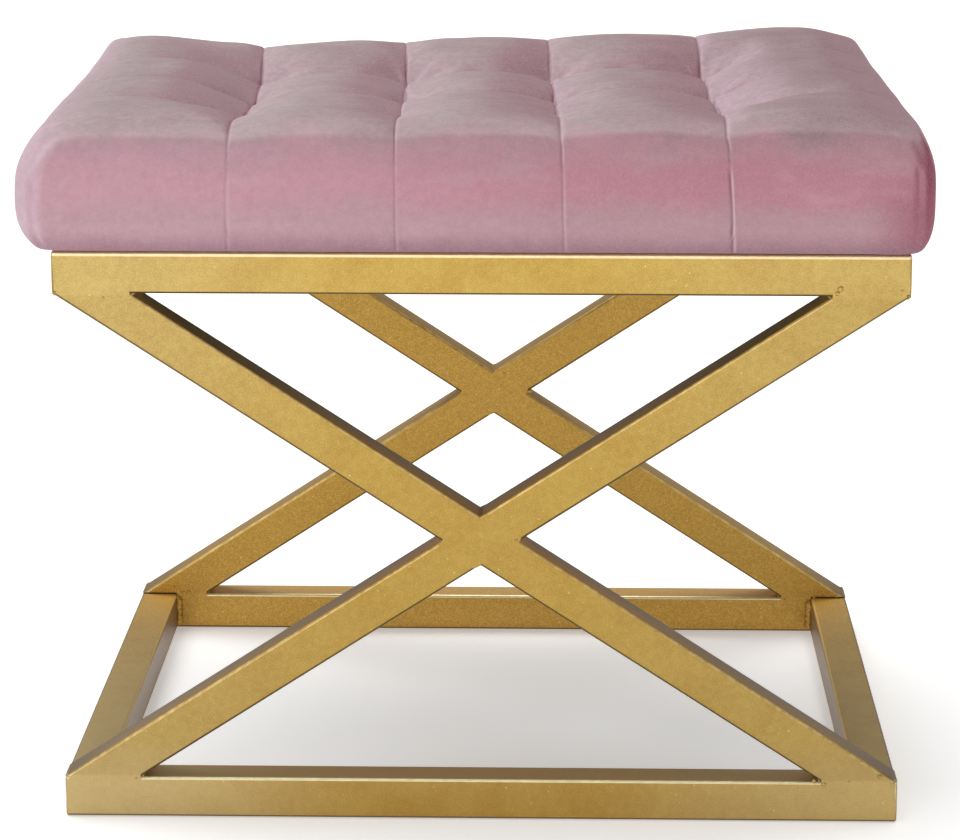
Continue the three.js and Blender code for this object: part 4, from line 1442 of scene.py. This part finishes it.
# %% Lines of the cover
NEAR_SEAM_STEPS = [1.3 * MM, 3.4 * MM, 7.4 * MM, 13 * MM, 20.5 * MM, 29.5 * MM, 39.5 * MM]
BORDER_CELL = 6.2 * MM
SIDE_SEAM_POWER = 5.0


def stations(seams, half):
    """Places of the grid's lines from edge to edge."""
    steps = [step for step in NEAR_SEAM_STEPS if step < PITCH / 2]
    places = []
    for seam, following in zip(seams[:-1], seams[1:]):
        places += [seam + step for step in steps]
        places += [(seam + following) / 2]
        places += [following - step for step in steps]
    border = half - seams[-1]
    border_cells = round((border - steps[-1]) / BORDER_CELL)
    outward = [seams[-1] + step for step in steps]
    for number in range(border_cells):
        outward.append(seams[-1] + steps[-1] + (border - steps[-1]) * (number + 1) / border_cells)
    return np.array(sorted([*places, *seams, *outward, *[-place for place in outward]]))


def border_loop(width, height):
    """Row and column numbers of a grid's border points, once round from the front left corner."""
    loop = [(0, column) for column in range(width - 1)]
    loop += [(row, width - 1) for row in range(height - 1)]
    loop += [(height - 1, width - 1 - column) for column in range(width - 1)]
    loop += [(height - 1 - row, 0) for row in range(height - 1)]
    return np.array(loop).T


COLUMNS = stations(SEAMS_ACROSS, EDGE_HALF_WIDTH)
ROWS = stations(SEAMS_ALONG, EDGE_HALF_DEPTH)
LOOP_ROWS, LOOP_COLUMNS = border_loop(len(COLUMNS), len(ROWS))
EDGE_X = COLUMNS[LOOP_COLUMNS]
EDGE_Y = ROWS[LOOP_ROWS]
on_front_or_rear = (LOOP_ROWS == 0) | (LOOP_ROWS == len(ROWS) - 1)
EDGE_SEAM = np.where(on_front_or_rear, valley(EDGE_X, SEAMS_ACROSS, SIDE_SEAM_POWER), 0)
print("grid of the top:", len(COLUMNS), "by", len(ROWS), "points, loop:", len(EDGE_X))

# %% [markdown]
# Each point also gets a number that says how firmly it is held when air is pressed in: seams and
# hem are held, panels are free. The rows' seams let go towards the sides, because they end in the
# border.

# %% Top, sides and hem of the cover
SIDE_SHARES = [0.05, 0.11, 0.18, 0.25, 0.33, 0.41, 0.5, 0.59, 0.68, 0.76, 0.84, 0.91, 0.96, 1.0]
HEM_SHARES = [0.08, 0.25, 0.5, 0.75, 1.0]
SIDE_SEAM_DEPTH = 0.6 * MM
CORNER_RADIUS = 22 * MM
HEM_WIDTH = 32 * MM
HEM_RADIUS = 16 * MM


def side_loop(down_share, side_slack, inset):
    """Where the loop at a share of the way down the sides lies, seen from above."""
    groove = SIDE_SEAM_DEPTH * EDGE_SEAM * (1 - down_share**2)
    belly = side_slack * (1 - EDGE_SEAM) * math.sin(math.pi * down_share)
    grow = side_growth(EDGE_X, down_share) - groove - belly - inset
    return with_round_corners(
        EDGE_X * (1 + grow / EDGE_HALF_WIDTH),
        EDGE_Y * (1 + grow / EDGE_HALF_DEPTH),
        EDGE_HALF_WIDTH + grow,
        EDGE_HALF_DEPTH + grow,
        CORNER_RADIUS - TOP_TUCK_IN + grow,
    )


def top_grid(slack, side_slack, inset):
    """The points of the top and how firmly each is held."""
    x, y = np.meshgrid(COLUMNS, ROWS)
    z = seat_top(x, y, slack) - inset
    radius = CORNER_RADIUS - TOP_TUCK_IN
    plan_x, plan_y = with_round_corners(x, y, EDGE_HALF_WIDTH, EDGE_HALF_DEPTH, radius)
    plan_x = plan_x * (1 - inset / EDGE_HALF_WIDTH)
    plan_y = plan_y * (1 - inset / EDGE_HALF_DEPTH)
    edge_x, edge_y = side_loop(0.0, side_slack, inset)
    plan_x[LOOP_ROWS, LOOP_COLUMNS] = edge_x
    plan_y[LOOP_ROWS, LOOP_COLUMNS] = edge_y
    plan_x = plan_x + drift(x, y)
    out_x = border_share(x, SEAMS_ACROSS, EDGE_HALF_WIDTH)
    on_column = np.isin(np.round(x, 6), np.round(SEAMS_ACROSS, 6))
    on_row = np.isin(np.round(y, 6), np.round(SEAMS_ALONG, 6))
    held = np.maximum(on_column * 1.0, on_row * (1 - eased(out_x, 0.0, 0.4)))
    return np.stack([plan_x, plan_y, z], axis=-1), held


def side_loops(edge_height, side_slack, inset):
    """The loops down the sides, each as its points and how firmly they are held."""
    seam_held = np.where(EDGE_SEAM > 0.999, 1.0, 0.0)
    loops = []
    for share in SIDE_SHARES:
        x, y = side_loop(share, side_slack, inset)
        height = edge_height + (HEM_HEIGHT + inset - edge_height) * share
        held = np.ones(len(x)) if share == 1.0 else seam_held
        loops.append((np.stack([x + drift(EDGE_X, EDGE_Y, share), y, height], axis=-1), held))
    return loops


def hem_loops(bottom):
    """The loops of the hem, from the bottom of the sides to the line where it is stapled."""
    board_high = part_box("seat_board")[1]
    half_width = board_high.x - HEM_WIDTH
    half_depth = board_high.y - HEM_WIDTH
    hem = bottom.copy()
    hem[:, 0], hem[:, 1] = with_round_corners(
        EDGE_X * half_width / EDGE_HALF_WIDTH,
        EDGE_Y * half_depth / EDGE_HALF_DEPTH,
        half_width,
        half_depth,
        HEM_RADIUS,
    )
    return [(bottom + (hem - bottom) * share, np.ones(len(hem))) for share in HEM_SHARES]


# %% [markdown]
# The parts are now sewn into one sheet: the grid, then loop after loop down the sides and under the
# board. A last point in the middle closes it, because air pressure needs a closed bag.


# %% Cover sheet
def cover_sheet(slack, side_slack, inset=0.0):
    """Points, quads and hold of the cover's outer face, closed by a fan under the board."""
    top, top_held = top_grid(slack, side_slack, inset)
    points = [top.reshape(-1, 3)]
    hold = [top_held.ravel()]
    quads = grid_quads(len(COLUMNS), len(ROWS))
    first = len(points[0])
    count = len(EDGE_X)
    upper = LOOP_ROWS * len(COLUMNS) + LOOP_COLUMNS
    loops = side_loops(top[LOOP_ROWS, LOOP_COLUMNS, 2], side_slack, inset)
    for loop, held in [*loops, *hem_loops(loops[-1][0])]:
        points.append(loop)
        hold.append(held)
        lower = first + np.arange(count)
        for k in range(count):
            following = (k + 1) % count
            quads.append((lower[k], lower[following], upper[following], upper[k]))
        upper = lower
        first += count
    points.append(np.array([[0.0, 0.0, HEM_HEIGHT + inset]]))
    hold.append(np.ones(1))
    fan = [(first, upper[(k + 1) % count], upper[k]) for k in range(count)]
    return np.concatenate(points), quads, fan, np.concatenate(hold)


# %% [markdown]
# ## Filling the cover
# Padding can't be drawn as well as it can be blown up. The cover starts slack, a few millimetres
# below its final shape. Blender's cloth then holds the seams and the hem still and presses air into
# the bag for twenty frames, so each panel takes the even, tight swell of stuffed fabric. No point
# may move further than a cap.

# %% Air pressure
SWELL_CAP = 7 * MM
PRESSURE = 4.0
FRAMES_OF_SWELLING = 20
SPARE_CLOTH = -0.012
CLOTH_QUALITY = 6
TENSION = 18
COMPRESSION = 12
SHEAR = 6
BENDING = 0.4


def capped(moves, cap):
    """Moves that keep their direction and never get longer than the cap."""
    length = np.maximum(np.linalg.norm(moves, axis=1), 1e-9)
    return moves * (cap * np.tanh(length / cap) / length)[:, None]


def swelling(points, quads, fan, hold):
    """How air pressure moves the points, found with Blender's cloth on a copy of the mesh."""
    mesh = bpy.data.meshes.new("swelling cover")
    mesh.from_pydata(points.tolist(), [], [tuple(int(c) for c in face) for face in [*quads, *fan]])
    bag = bpy.data.objects.new("swelling_cover", mesh)
    bpy.context.scene.collection.objects.link(bag)
    group = bag.vertex_groups.new(name="held")
    for level in np.unique(np.round(hold, 2)):
        members = np.nonzero(np.abs(hold - level) < 0.005)[0]
        group.add(members.tolist(), float(level), "REPLACE")
    cloth = bag.modifiers.new("Air pressure", "CLOTH")
    cloth.settings.vertex_group_mass = "held"
    cloth.settings.use_pressure = True
    cloth.settings.uniform_pressure_force = PRESSURE
    cloth.settings.effector_weights.gravity = 0
    cloth.settings.shrink_min = SPARE_CLOTH
    cloth.settings.quality = CLOTH_QUALITY
    cloth.settings.tension_stiffness = TENSION
    cloth.settings.compression_stiffness = COMPRESSION
    cloth.settings.shear_stiffness = SHEAR
    cloth.settings.bending_stiffness = BENDING
    cloth.point_cache.frame_start = 1
    cloth.point_cache.frame_end = FRAMES_OF_SWELLING
    for number in range(1, FRAMES_OF_SWELLING + 1):
        bpy.context.scene.frame_set(number)
    evaluated = bag.evaluated_get(bpy.context.evaluated_depsgraph_get())
    after = np.array([tuple(vertex.co) for vertex in evaluated.data.vertices])
    bpy.data.objects.remove(bag)
    bpy.context.scene.frame_set(1)
    move = capped(after - points, SWELL_CAP)
    lowest, median, highest = np.percentile(move[:, 2], [0, 50, 100]) / MM
    print("swelling in mm:", round(lowest, 2), round(median, 2), round(highest, 2))
    return move


# %% [markdown]
# The whole movement is then scaled so that the panels come up, on average, to the drawn heights.
# What still differs from the drawn shape is held under two millimetres, and to less on the borders
# and sides, so that the seat keeps the size of the solid.

# %% The filled cover
SLACK = 5.0 * MM
SIDE_SLACK = 0.5 * MM
STRAY_CAP = 1.6 * MM
BORDER_BLEND = 40 * MM
EDGE_BLEND = 4 * MM
BORDER_CALM = 0.8
SIDE_CALM = 0.7


def filled(full, quads, fan, hold):
    """The drawn points with the swell of stuffed fabric."""
    slack = cover_sheet(SLACK, SIDE_SLACK)[0]
    move = swelling(slack, quads, fan, hold)
    share = float(np.clip((full - slack)[:, 2].sum() / move[:, 2].sum(), 0.5, 2.0))
    stray = capped(slack + move * share - full, STRAY_CAP)
    on_border = eased(np.abs(full[:, 0]), EDGE_HALF_WIDTH - BORDER_BLEND, EDGE_HALF_WIDTH)
    on_side = eased(np.abs(full[:, 1]), EDGE_HALF_DEPTH - EDGE_BLEND, EDGE_HALF_DEPTH + EDGE_BLEND)
    stray *= ((1 - BORDER_CALM * on_border) * (1 - SIDE_CALM * on_side))[:, None]
    print("share kept:", round(share, 2), "mean stray in mm:", round(np.abs(stray).mean() / MM, 2))
    return full + stray


cover_points, cover_quads, cover_fan, cover_hold = cover_sheet(0.0, 0.0)
cover_points = filled(cover_points, cover_quads, cover_fan, cover_hold)
outer_face = (cover_points[:-1], cover_quads)
cover = mesh_piece("tufted_velvet_seat", *outer_face, velvet, "pink_velvet", ["velvet_cover"])
print("cover:", len(cover.data.vertices), "points,", len(cover.data.polygons), "faces")

# %% [markdown]
# ## Seams, puckers and pleats
# One subdivision makes the sheet fine enough for what the needle does. As with the finishes, a
# class holds what each point needs: how far it is from the seams, whether it lies on top or on the
# front, and how tight the seam is drawn there, which is tightest at the front seams on the right.
# The seams are straight in the plan and drift in the mesh, so the drift is taken off first.

# %% The cover's points
TIGHT_SEAMS_FROM = 60 * MM
TIGHT_SEAMS_TO = 110 * MM
STAPLED_HEIGHT = 0.2 * MM
FREE_HEIGHT = 4 * MM

refine = cover.modifiers.new("Finer", "SUBSURF")
refine.levels = 1
refine.render_levels = 1
applied(cover)


class Cloth:
    """The cover's points, and what the needle and the staples need to know of each."""

    def __init__(self, piece):
        self.points = points_of(piece)
        self.normals = normals_of(piece)
        drifted_x, self.y, self.z = self.points.T
        down = np.clip((CREST - self.z) / (CREST - HEM_HEIGHT), 0, 1)
        down = down * eased(self.normals[:, 2], 0.8, 0.5)
        self.x = drifted_x - drift(drifted_x, self.y, down)
        self.on_top = eased(self.normals[:, 2], 0.0, 0.35)
        on_front = eased(np.abs(self.normals[:, 1]), 0.35, 0.75) * (1 - self.on_top)
        self.tightness = on_front * (0.4 + 0.6 * eased(self.x, TIGHT_SEAMS_FROM, TIGHT_SEAMS_TO))
        self.above_hem = eased(self.z, HEM_HEIGHT + STAPLED_HEIGHT, HEM_HEIGHT + FREE_HEIGHT)
        from_columns = self.x[:, None] - np.array(SEAMS_ACROSS)
        nearest = np.argmin(np.abs(from_columns), axis=1)
        self.from_column = from_columns[np.arange(len(self.x)), nearest]
        self.to_column = np.abs(self.from_column)
        self.to_row = np.min(np.abs(self.y[:, None] - np.array(SEAMS_ALONG)), axis=1)
        self.out_x = border_share(self.x, SEAMS_ACROSS, EDGE_HALF_WIDTH)


def near(distance, width):
    """1 on a line, falling to 0 at a width from it."""
    return np.maximum(0, 1 - np.abs(distance) / width)


# %% [markdown]
# Along each seam the cloth dives into a narrow crease, with a soft lip on the right of it. Round
# each tuft it puckers into small folds that fan out and die away. Each function below gives a
# height for every point, which is added along the surface's normal at the end.

# %% Creases and puckers
CREASE_DEPTH = 0.9 * MM
CREASE_WIDTH = 1.3 * MM
CREASE_POWER = 1.5
LIP_HEIGHT = 0.22 * MM
LIP_START = 0.4 * MM
LIP_CREST = 2.2 * MM
LIP_WIDTH = 6 * MM
PUCKER_HEIGHT = 0.45 * MM
PUCKER_START = 3 * MM
PUCKER_CREST = 14 * MM
PUCKER_FALL = 16 * MM
PUCKER_REACH = 40 * MM
FOLDS_ROUND_TUFT = 7
FINE_FOLDS_ROUND_TUFT = 11


def creases(cloth):
    rising = eased(cloth.from_column, LIP_START, LIP_CREST)
    lip = rising * (1 - eased(cloth.from_column, LIP_CREST, LIP_WIDTH))
    column_crease = near(cloth.to_column, CREASE_WIDTH) ** CREASE_POWER
    row_crease = near(cloth.to_row, CREASE_WIDTH) ** CREASE_POWER
    columns = CREASE_DEPTH * column_crease * np.maximum(cloth.on_top * 0.65, cloth.tightness)
    lips = LIP_HEIGHT * lip * np.maximum(cloth.on_top * 0.3, cloth.tightness)
    rows = CREASE_DEPTH * row_crease * cloth.on_top * (1 - 0.8 * cloth.out_x)
    return (lips - columns) * cloth.above_hem - rows


def puckers(cloth):
    heights = np.zeros(len(cloth.points))
    for number, tuft in enumerate(twine_places):
        off_x = cloth.x - tuft.x
        off_y = cloth.y - tuft.y
        distance = np.hypot(off_x, off_y)
        angle = np.arctan2(off_y, off_x)
        turn = number * 2.4
        folds = np.sin(FOLDS_ROUND_TUFT * angle + turn)
        folds = folds + 0.6 * np.sin(FINE_FOLDS_ROUND_TUFT * angle - 1.7 * turn)
        dying = 1 - eased(distance, PUCKER_FALL, PUCKER_REACH)
        heights += PUCKER_HEIGHT * folds * eased(distance, PUCKER_START, PUCKER_CREST) * dying
    return heights * cloth.on_top


# %% [markdown]
# The corners, where a square of spare cloth is folded in, get a pleat with a soft ridge beside it.
# The lower edge is drawn tight in little scallops where it is stapled under the board, and broad,
# soft waves keep the whole cover from looking cast.

# %% Pleats, scallops and waves
PLEAT_DEPTH = 1.2 * MM
PLEAT_WIDTH = 5 * MM
PLEAT_BEARING = math.radians(58)
PLEAT_RIDGE_PLACE = 5 * MM
PLEAT_RIDGE_WIDTH = 3.5 * MM
PLEAT_FADES_BELOW_CREST = 24 * MM
PLEAT_ENDS_BELOW_CREST = 8 * MM
SCALLOP_PITCH = 34 * MM
SCALLOP_DRIFT = 90 * MM
SCALLOP_HEIGHT = 0.2 * MM
SCALLOP_REACH = 26 * MM
WAVE_SIZE = 55 * MM
WAVE_HEIGHT = 0.7 * MM
WAVE_SEED = 3


def pleats(cloth):
    corner_x = np.abs(cloth.x) - (cover_high.x - CORNER_RADIUS)
    corner_y = np.abs(cloth.y) - (cover_high.y - CORNER_RADIUS)
    in_corner = (corner_x > 0) & (corner_y > 0) & (cloth.on_top < 0.9)
    from_pleat = (np.arctan2(corner_y, corner_x) - PLEAT_BEARING) * CORNER_RADIUS
    running_out = eased(cloth.z, CREST - PLEAT_FADES_BELOW_CREST, CREST - PLEAT_ENDS_BELOW_CREST)
    run = cloth.above_hem * (1 - running_out)
    groove = near(from_pleat, PLEAT_WIDTH) ** CREASE_POWER
    ridge = np.exp(-(((from_pleat - PLEAT_RIDGE_PLACE) / PLEAT_RIDGE_WIDTH) ** 2))
    return np.where(in_corner, (PLEAT_DEPTH * 0.4 * ridge - PLEAT_DEPTH * groove) * run, 0)


def scallops(cloth):
    faces_along = np.abs(cloth.normals[:, 1]) > np.abs(cloth.normals[:, 0])
    girth = np.where(faces_along, cloth.x, cloth.y)
    below = 1 - eased(cloth.z, HEM_HEIGHT + FREE_HEIGHT, HEM_HEIGHT + SCALLOP_REACH)
    wander = 1.3 * np.sin(girth / SCALLOP_DRIFT)
    wave = np.sin(girth / SCALLOP_PITCH * 2 * math.pi + wander)
    return SCALLOP_HEIGHT * wave * below * cloth.above_hem * (1 - cloth.on_top)


def waves(cloth):
    calm = eased(np.abs(cloth.x), EDGE_HALF_WIDTH - BORDER_BLEND, EDGE_HALF_WIDTH)
    where = np.maximum(cloth.on_top, cloth.above_hem * 0.8) * (1 - 0.7 * calm)
    return WAVE_HEIGHT * unevenness(cloth.points, WAVE_SIZE, WAVE_SEED) * where


# %% [markdown]
# All heights are added up and the points move along their normals. Two numbers are noted on each
# point for the velvet's colour: how close it lies to a seam's crease, which gets painted shade, and
# to the lip beside it, which gets a painted highlight.

# %% Sewing the cover
SEAM_LINE_WIDTH = 1.1 * MM
LIP_LIGHT_PLACE = 1.3 * SEAM_LINE_WIDTH
ROW_SEAM_SHADE_SHARE = 0.35

cloth = Cloth(cover)
heights = creases(cloth) + puckers(cloth) + pleats(cloth) + scallops(cloth) + waves(cloth)
# Where these are high, the velvet paints shade in the crease and a highlight on the lip.
column_seam_shade = near(cloth.to_column, SEAM_LINE_WIDTH) * np.maximum(cloth.on_top * 0.5, cloth.tightness)
row_seam_shade = near(cloth.to_row, SEAM_LINE_WIDTH) * cloth.on_top * (1 - cloth.out_x) ** 0.5
lip_light = near(cloth.from_column - LIP_LIGHT_PLACE, SEAM_LINE_WIDTH)
note_on_points(cover, "seam_line", np.maximum(column_seam_shade, row_seam_shade * ROW_SEAM_SHADE_SHARE))
note_on_points(cover, "seam_lip", lip_light * np.maximum(cloth.on_top * 0.15, cloth.tightness))
move_points(cover, cloth.points + cloth.normals * heights[:, None])
sewn = points_of(cover)
print("seat box in mm:", [round(value / MM, 1) for value in (*sewn.min(0), *sewn.max(0))])

# %% [markdown]
# ## Cloth thickness and the foam inside
# The velvet is a sheet with its own thickness, so the cover gets an inner face. The foam block is a
# separate piece under it: the same form drawn a little smaller, cut off flat on the board.

# %% Thickness and foam
COVER_THICKNESS = 1.6 * MM
FOAM_INSET = 9 * MM


def thickened(piece, thickness, offset):
    """The piece with a second face, on the inner side (-1) or half on each side (0)."""
    shell = piece.modifiers.new("Thickness", "SOLIDIFY")
    shell.thickness = thickness
    shell.offset = offset
    return applied(piece)


thickened(cover, COVER_THICKNESS, -1)
foam_points, foam_quads, foam_fan, _ = cover_sheet(0.0, 0.0, FOAM_INSET)
foam_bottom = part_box("foam_block")[0].z
foam_points[:, 2] = np.maximum(foam_points[:, 2], foam_bottom)
foam_faces = [*foam_quads, *foam_fan]
foam_piece = mesh_piece("foam_core", foam_points, foam_faces, foam, "foam", ["foam_block"])
print("cover:", len(cover.data.polygons), "faces, foam:", len(foam_piece.data.polygons), "faces")

# %% [markdown]
# ## The cloth under the seat
# A black spun cloth closes the underside. It is stretched over the board and caught between the
# board and the rails, so it is flat above the rails and sags a little in the opening, with faint
# drag lines between the places where the twines' knots press on it from above.

# %% Dust cover
CLOTH_CELLS_ACROSS = 116
CLOTH_CELLS_ALONG = 96
CLOTH_SAG = 2.2 * MM
CLOTH_CORNER = 16 * MM
CLOTH_THICKNESS = 0.3 * MM
RAIL_GRIP = 3 * MM
KNOT_DEPTH = 0.7 * MM
KNOT_RADIUS = 6 * MM
DRAG_SHARE = 0.18
DRAG_ACROSS = 31 * MM
DRAG_ALONG = 43 * MM
DRAG_SLANT = 70 * MM

cloth_low, cloth_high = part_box("dust_cover")


def dust_cloth_sheet():
    across = np.linspace(-cloth_high.x, cloth_high.x, CLOTH_CELLS_ACROSS + 1)
    along = np.linspace(-cloth_high.y, cloth_high.y, CLOTH_CELLS_ALONG + 1)
    x, y = np.meshgrid(across, along)
    inside_x = np.maximum(0, 1 - (np.abs(x) / (HALF_WIDTH - TUBE - RAIL_GRIP)) ** 2)
    inside_y = np.maximum(0, 1 - (np.abs(y) / (HALF_DEPTH - TUBE - RAIL_GRIP)) ** 2)
    open_span = np.sqrt(inside_x * inside_y)
    drag = np.sin(x / DRAG_ACROSS) * np.sin(y / DRAG_ALONG + x / DRAG_SLANT)
    z = (cloth_low.z + cloth_high.z) / 2 - CLOTH_SAG * open_span * (1 + DRAG_SHARE * drag)
    for tuft in twine_places:
        distance = np.hypot(x - tuft.x, y - tuft.y)
        z -= KNOT_DEPTH * np.exp(-((distance / KNOT_RADIUS) ** 2)) * open_span
    plan_x, plan_y = with_round_corners(x, y, cloth_high.x, cloth_high.y, CLOTH_CORNER)
    points = np.stack([plan_x, plan_y, z], axis=-1).reshape(-1, 3)
    return points, grid_quads(CLOTH_CELLS_ACROSS + 1, CLOTH_CELLS_ALONG + 1)


sheet = dust_cloth_sheet()
cloth_piece = mesh_piece("dust_cloth", *sheet, dust_cloth, "dust_cloth", ["dust_cover"])
thickened(cloth_piece, CLOTH_THICKNESS, 0)

# %% [markdown]
# ## Floor and light
# The stool stands on a pale seamless floor. The floor glows a little, like a light table, so that
# the shadow under the seat stays pale. It lets a camera below it look up through it, so that the
# underside can be seen: the shader is see-through wherever the floor is met from its back.

# %% Floor
FLOOR_SIZE = 30.0
FLOOR_GLOW = 0.3
FLOOR_DROP = 0.2 * MM


def pale_floor():
    material, shader, place = new_finish("pale_floor")
    tone = grain(place, 0.4, 2.0)
    from_below = place.make("ShaderNodeNewGeometry", output="Backfacing")
    fixed = {
        "Roughness": 0.9,
        "Specular IOR Level": 0.1,
        "Emission Strength": FLOOR_GLOW,
        "Emission Color": linear(255, 255, 255),
    }
    varying = {
        "Base Color": mixed(tone, linear(246, 246, 246), linear(250, 250, 249)),
        "Alpha": 1 - from_below,
    }
    return finished(material, shader, fixed, varying)


reach = FLOOR_SIZE / 2
corners = [(x * reach, y * reach, -FLOOR_DROP) for x, y in ((-1, -1), (1, -1), (1, 1), (-1, 1))]
floor_mesh = bpy.data.meshes.new("floor")
floor_mesh.from_pydata(corners, [], [(0, 1, 2, 3)])
floor_mesh.materials.append(pale_floor())
floor = bpy.data.objects.new("floor", floor_mesh)
bpy.context.scene.collection.objects.link(floor)
floor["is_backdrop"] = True

# %% [markdown]
# Soft studio light comes from three sides: a wide soft light overhead, a little behind the stool,
# which draws the bright line along the upper edges of the rails, a softbox low in front for the
# faces, and a pale surround that the metal mirrors. The overhead light is a sun whose disc is made
# very large, so that its shadows have no edge.

# %% Lights
SOFTBOX_PLACE = Vector((-0.7, -3.0, 1.2))
SOFTBOX_SIZE = (2.6, 1.0)
SOFTBOX_POWER = 24
MIDDLE_OF_STOOL = Vector((0, 0, 0.25))
OVERHEAD_STRENGTH = 2.4
OVERHEAD_SPREAD = math.radians(60)
OVERHEAD_TURN = (math.radians(-16), math.radians(-10), 0)
SURROUND_STRENGTH = 0.36


def lamp_object(lamp):
    thing = bpy.data.objects.new(lamp.name, lamp)
    bpy.context.scene.collection.objects.link(thing)
    return thing


softbox = bpy.data.lights.new("front softbox", "AREA")
softbox.shape = "RECTANGLE"
softbox.size, softbox.size_y = SOFTBOX_SIZE
softbox.energy = SOFTBOX_POWER
softbox_object = lamp_object(softbox)
softbox_object.location = SOFTBOX_PLACE
softbox_object.rotation_euler = (MIDDLE_OF_STOOL - SOFTBOX_PLACE).to_track_quat("-Z", "Y").to_euler()

overhead = bpy.data.lights.new("overhead light", "SUN")
overhead.energy = OVERHEAD_STRENGTH
overhead.angle = OVERHEAD_SPREAD
lamp_object(overhead).rotation_euler = OVERHEAD_TURN

world = bpy.data.worlds.new("studio")
bpy.context.scene.world = world
world.use_nodes = True
surround = world.node_tree.nodes["Background"]
surround.inputs["Color"].default_value = linear(244, 245, 247)
surround.inputs["Strength"].default_value = SURROUND_STRENGTH
bpy.context.scene.view_settings.view_transform = "Standard"

# %% [markdown]
# ## Measuring the result
# Dressing a model must not change its size. The box of the dressed one is measured against the box
# of the imported model, and how far each side grew is printed.

# %% Sizes
seen_low, seen_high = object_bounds()
growth = (*(seen_low - cad_low), *(seen_high - cad_high))
print("growth in mm:", [round(value / MM, 2) for value in growth])
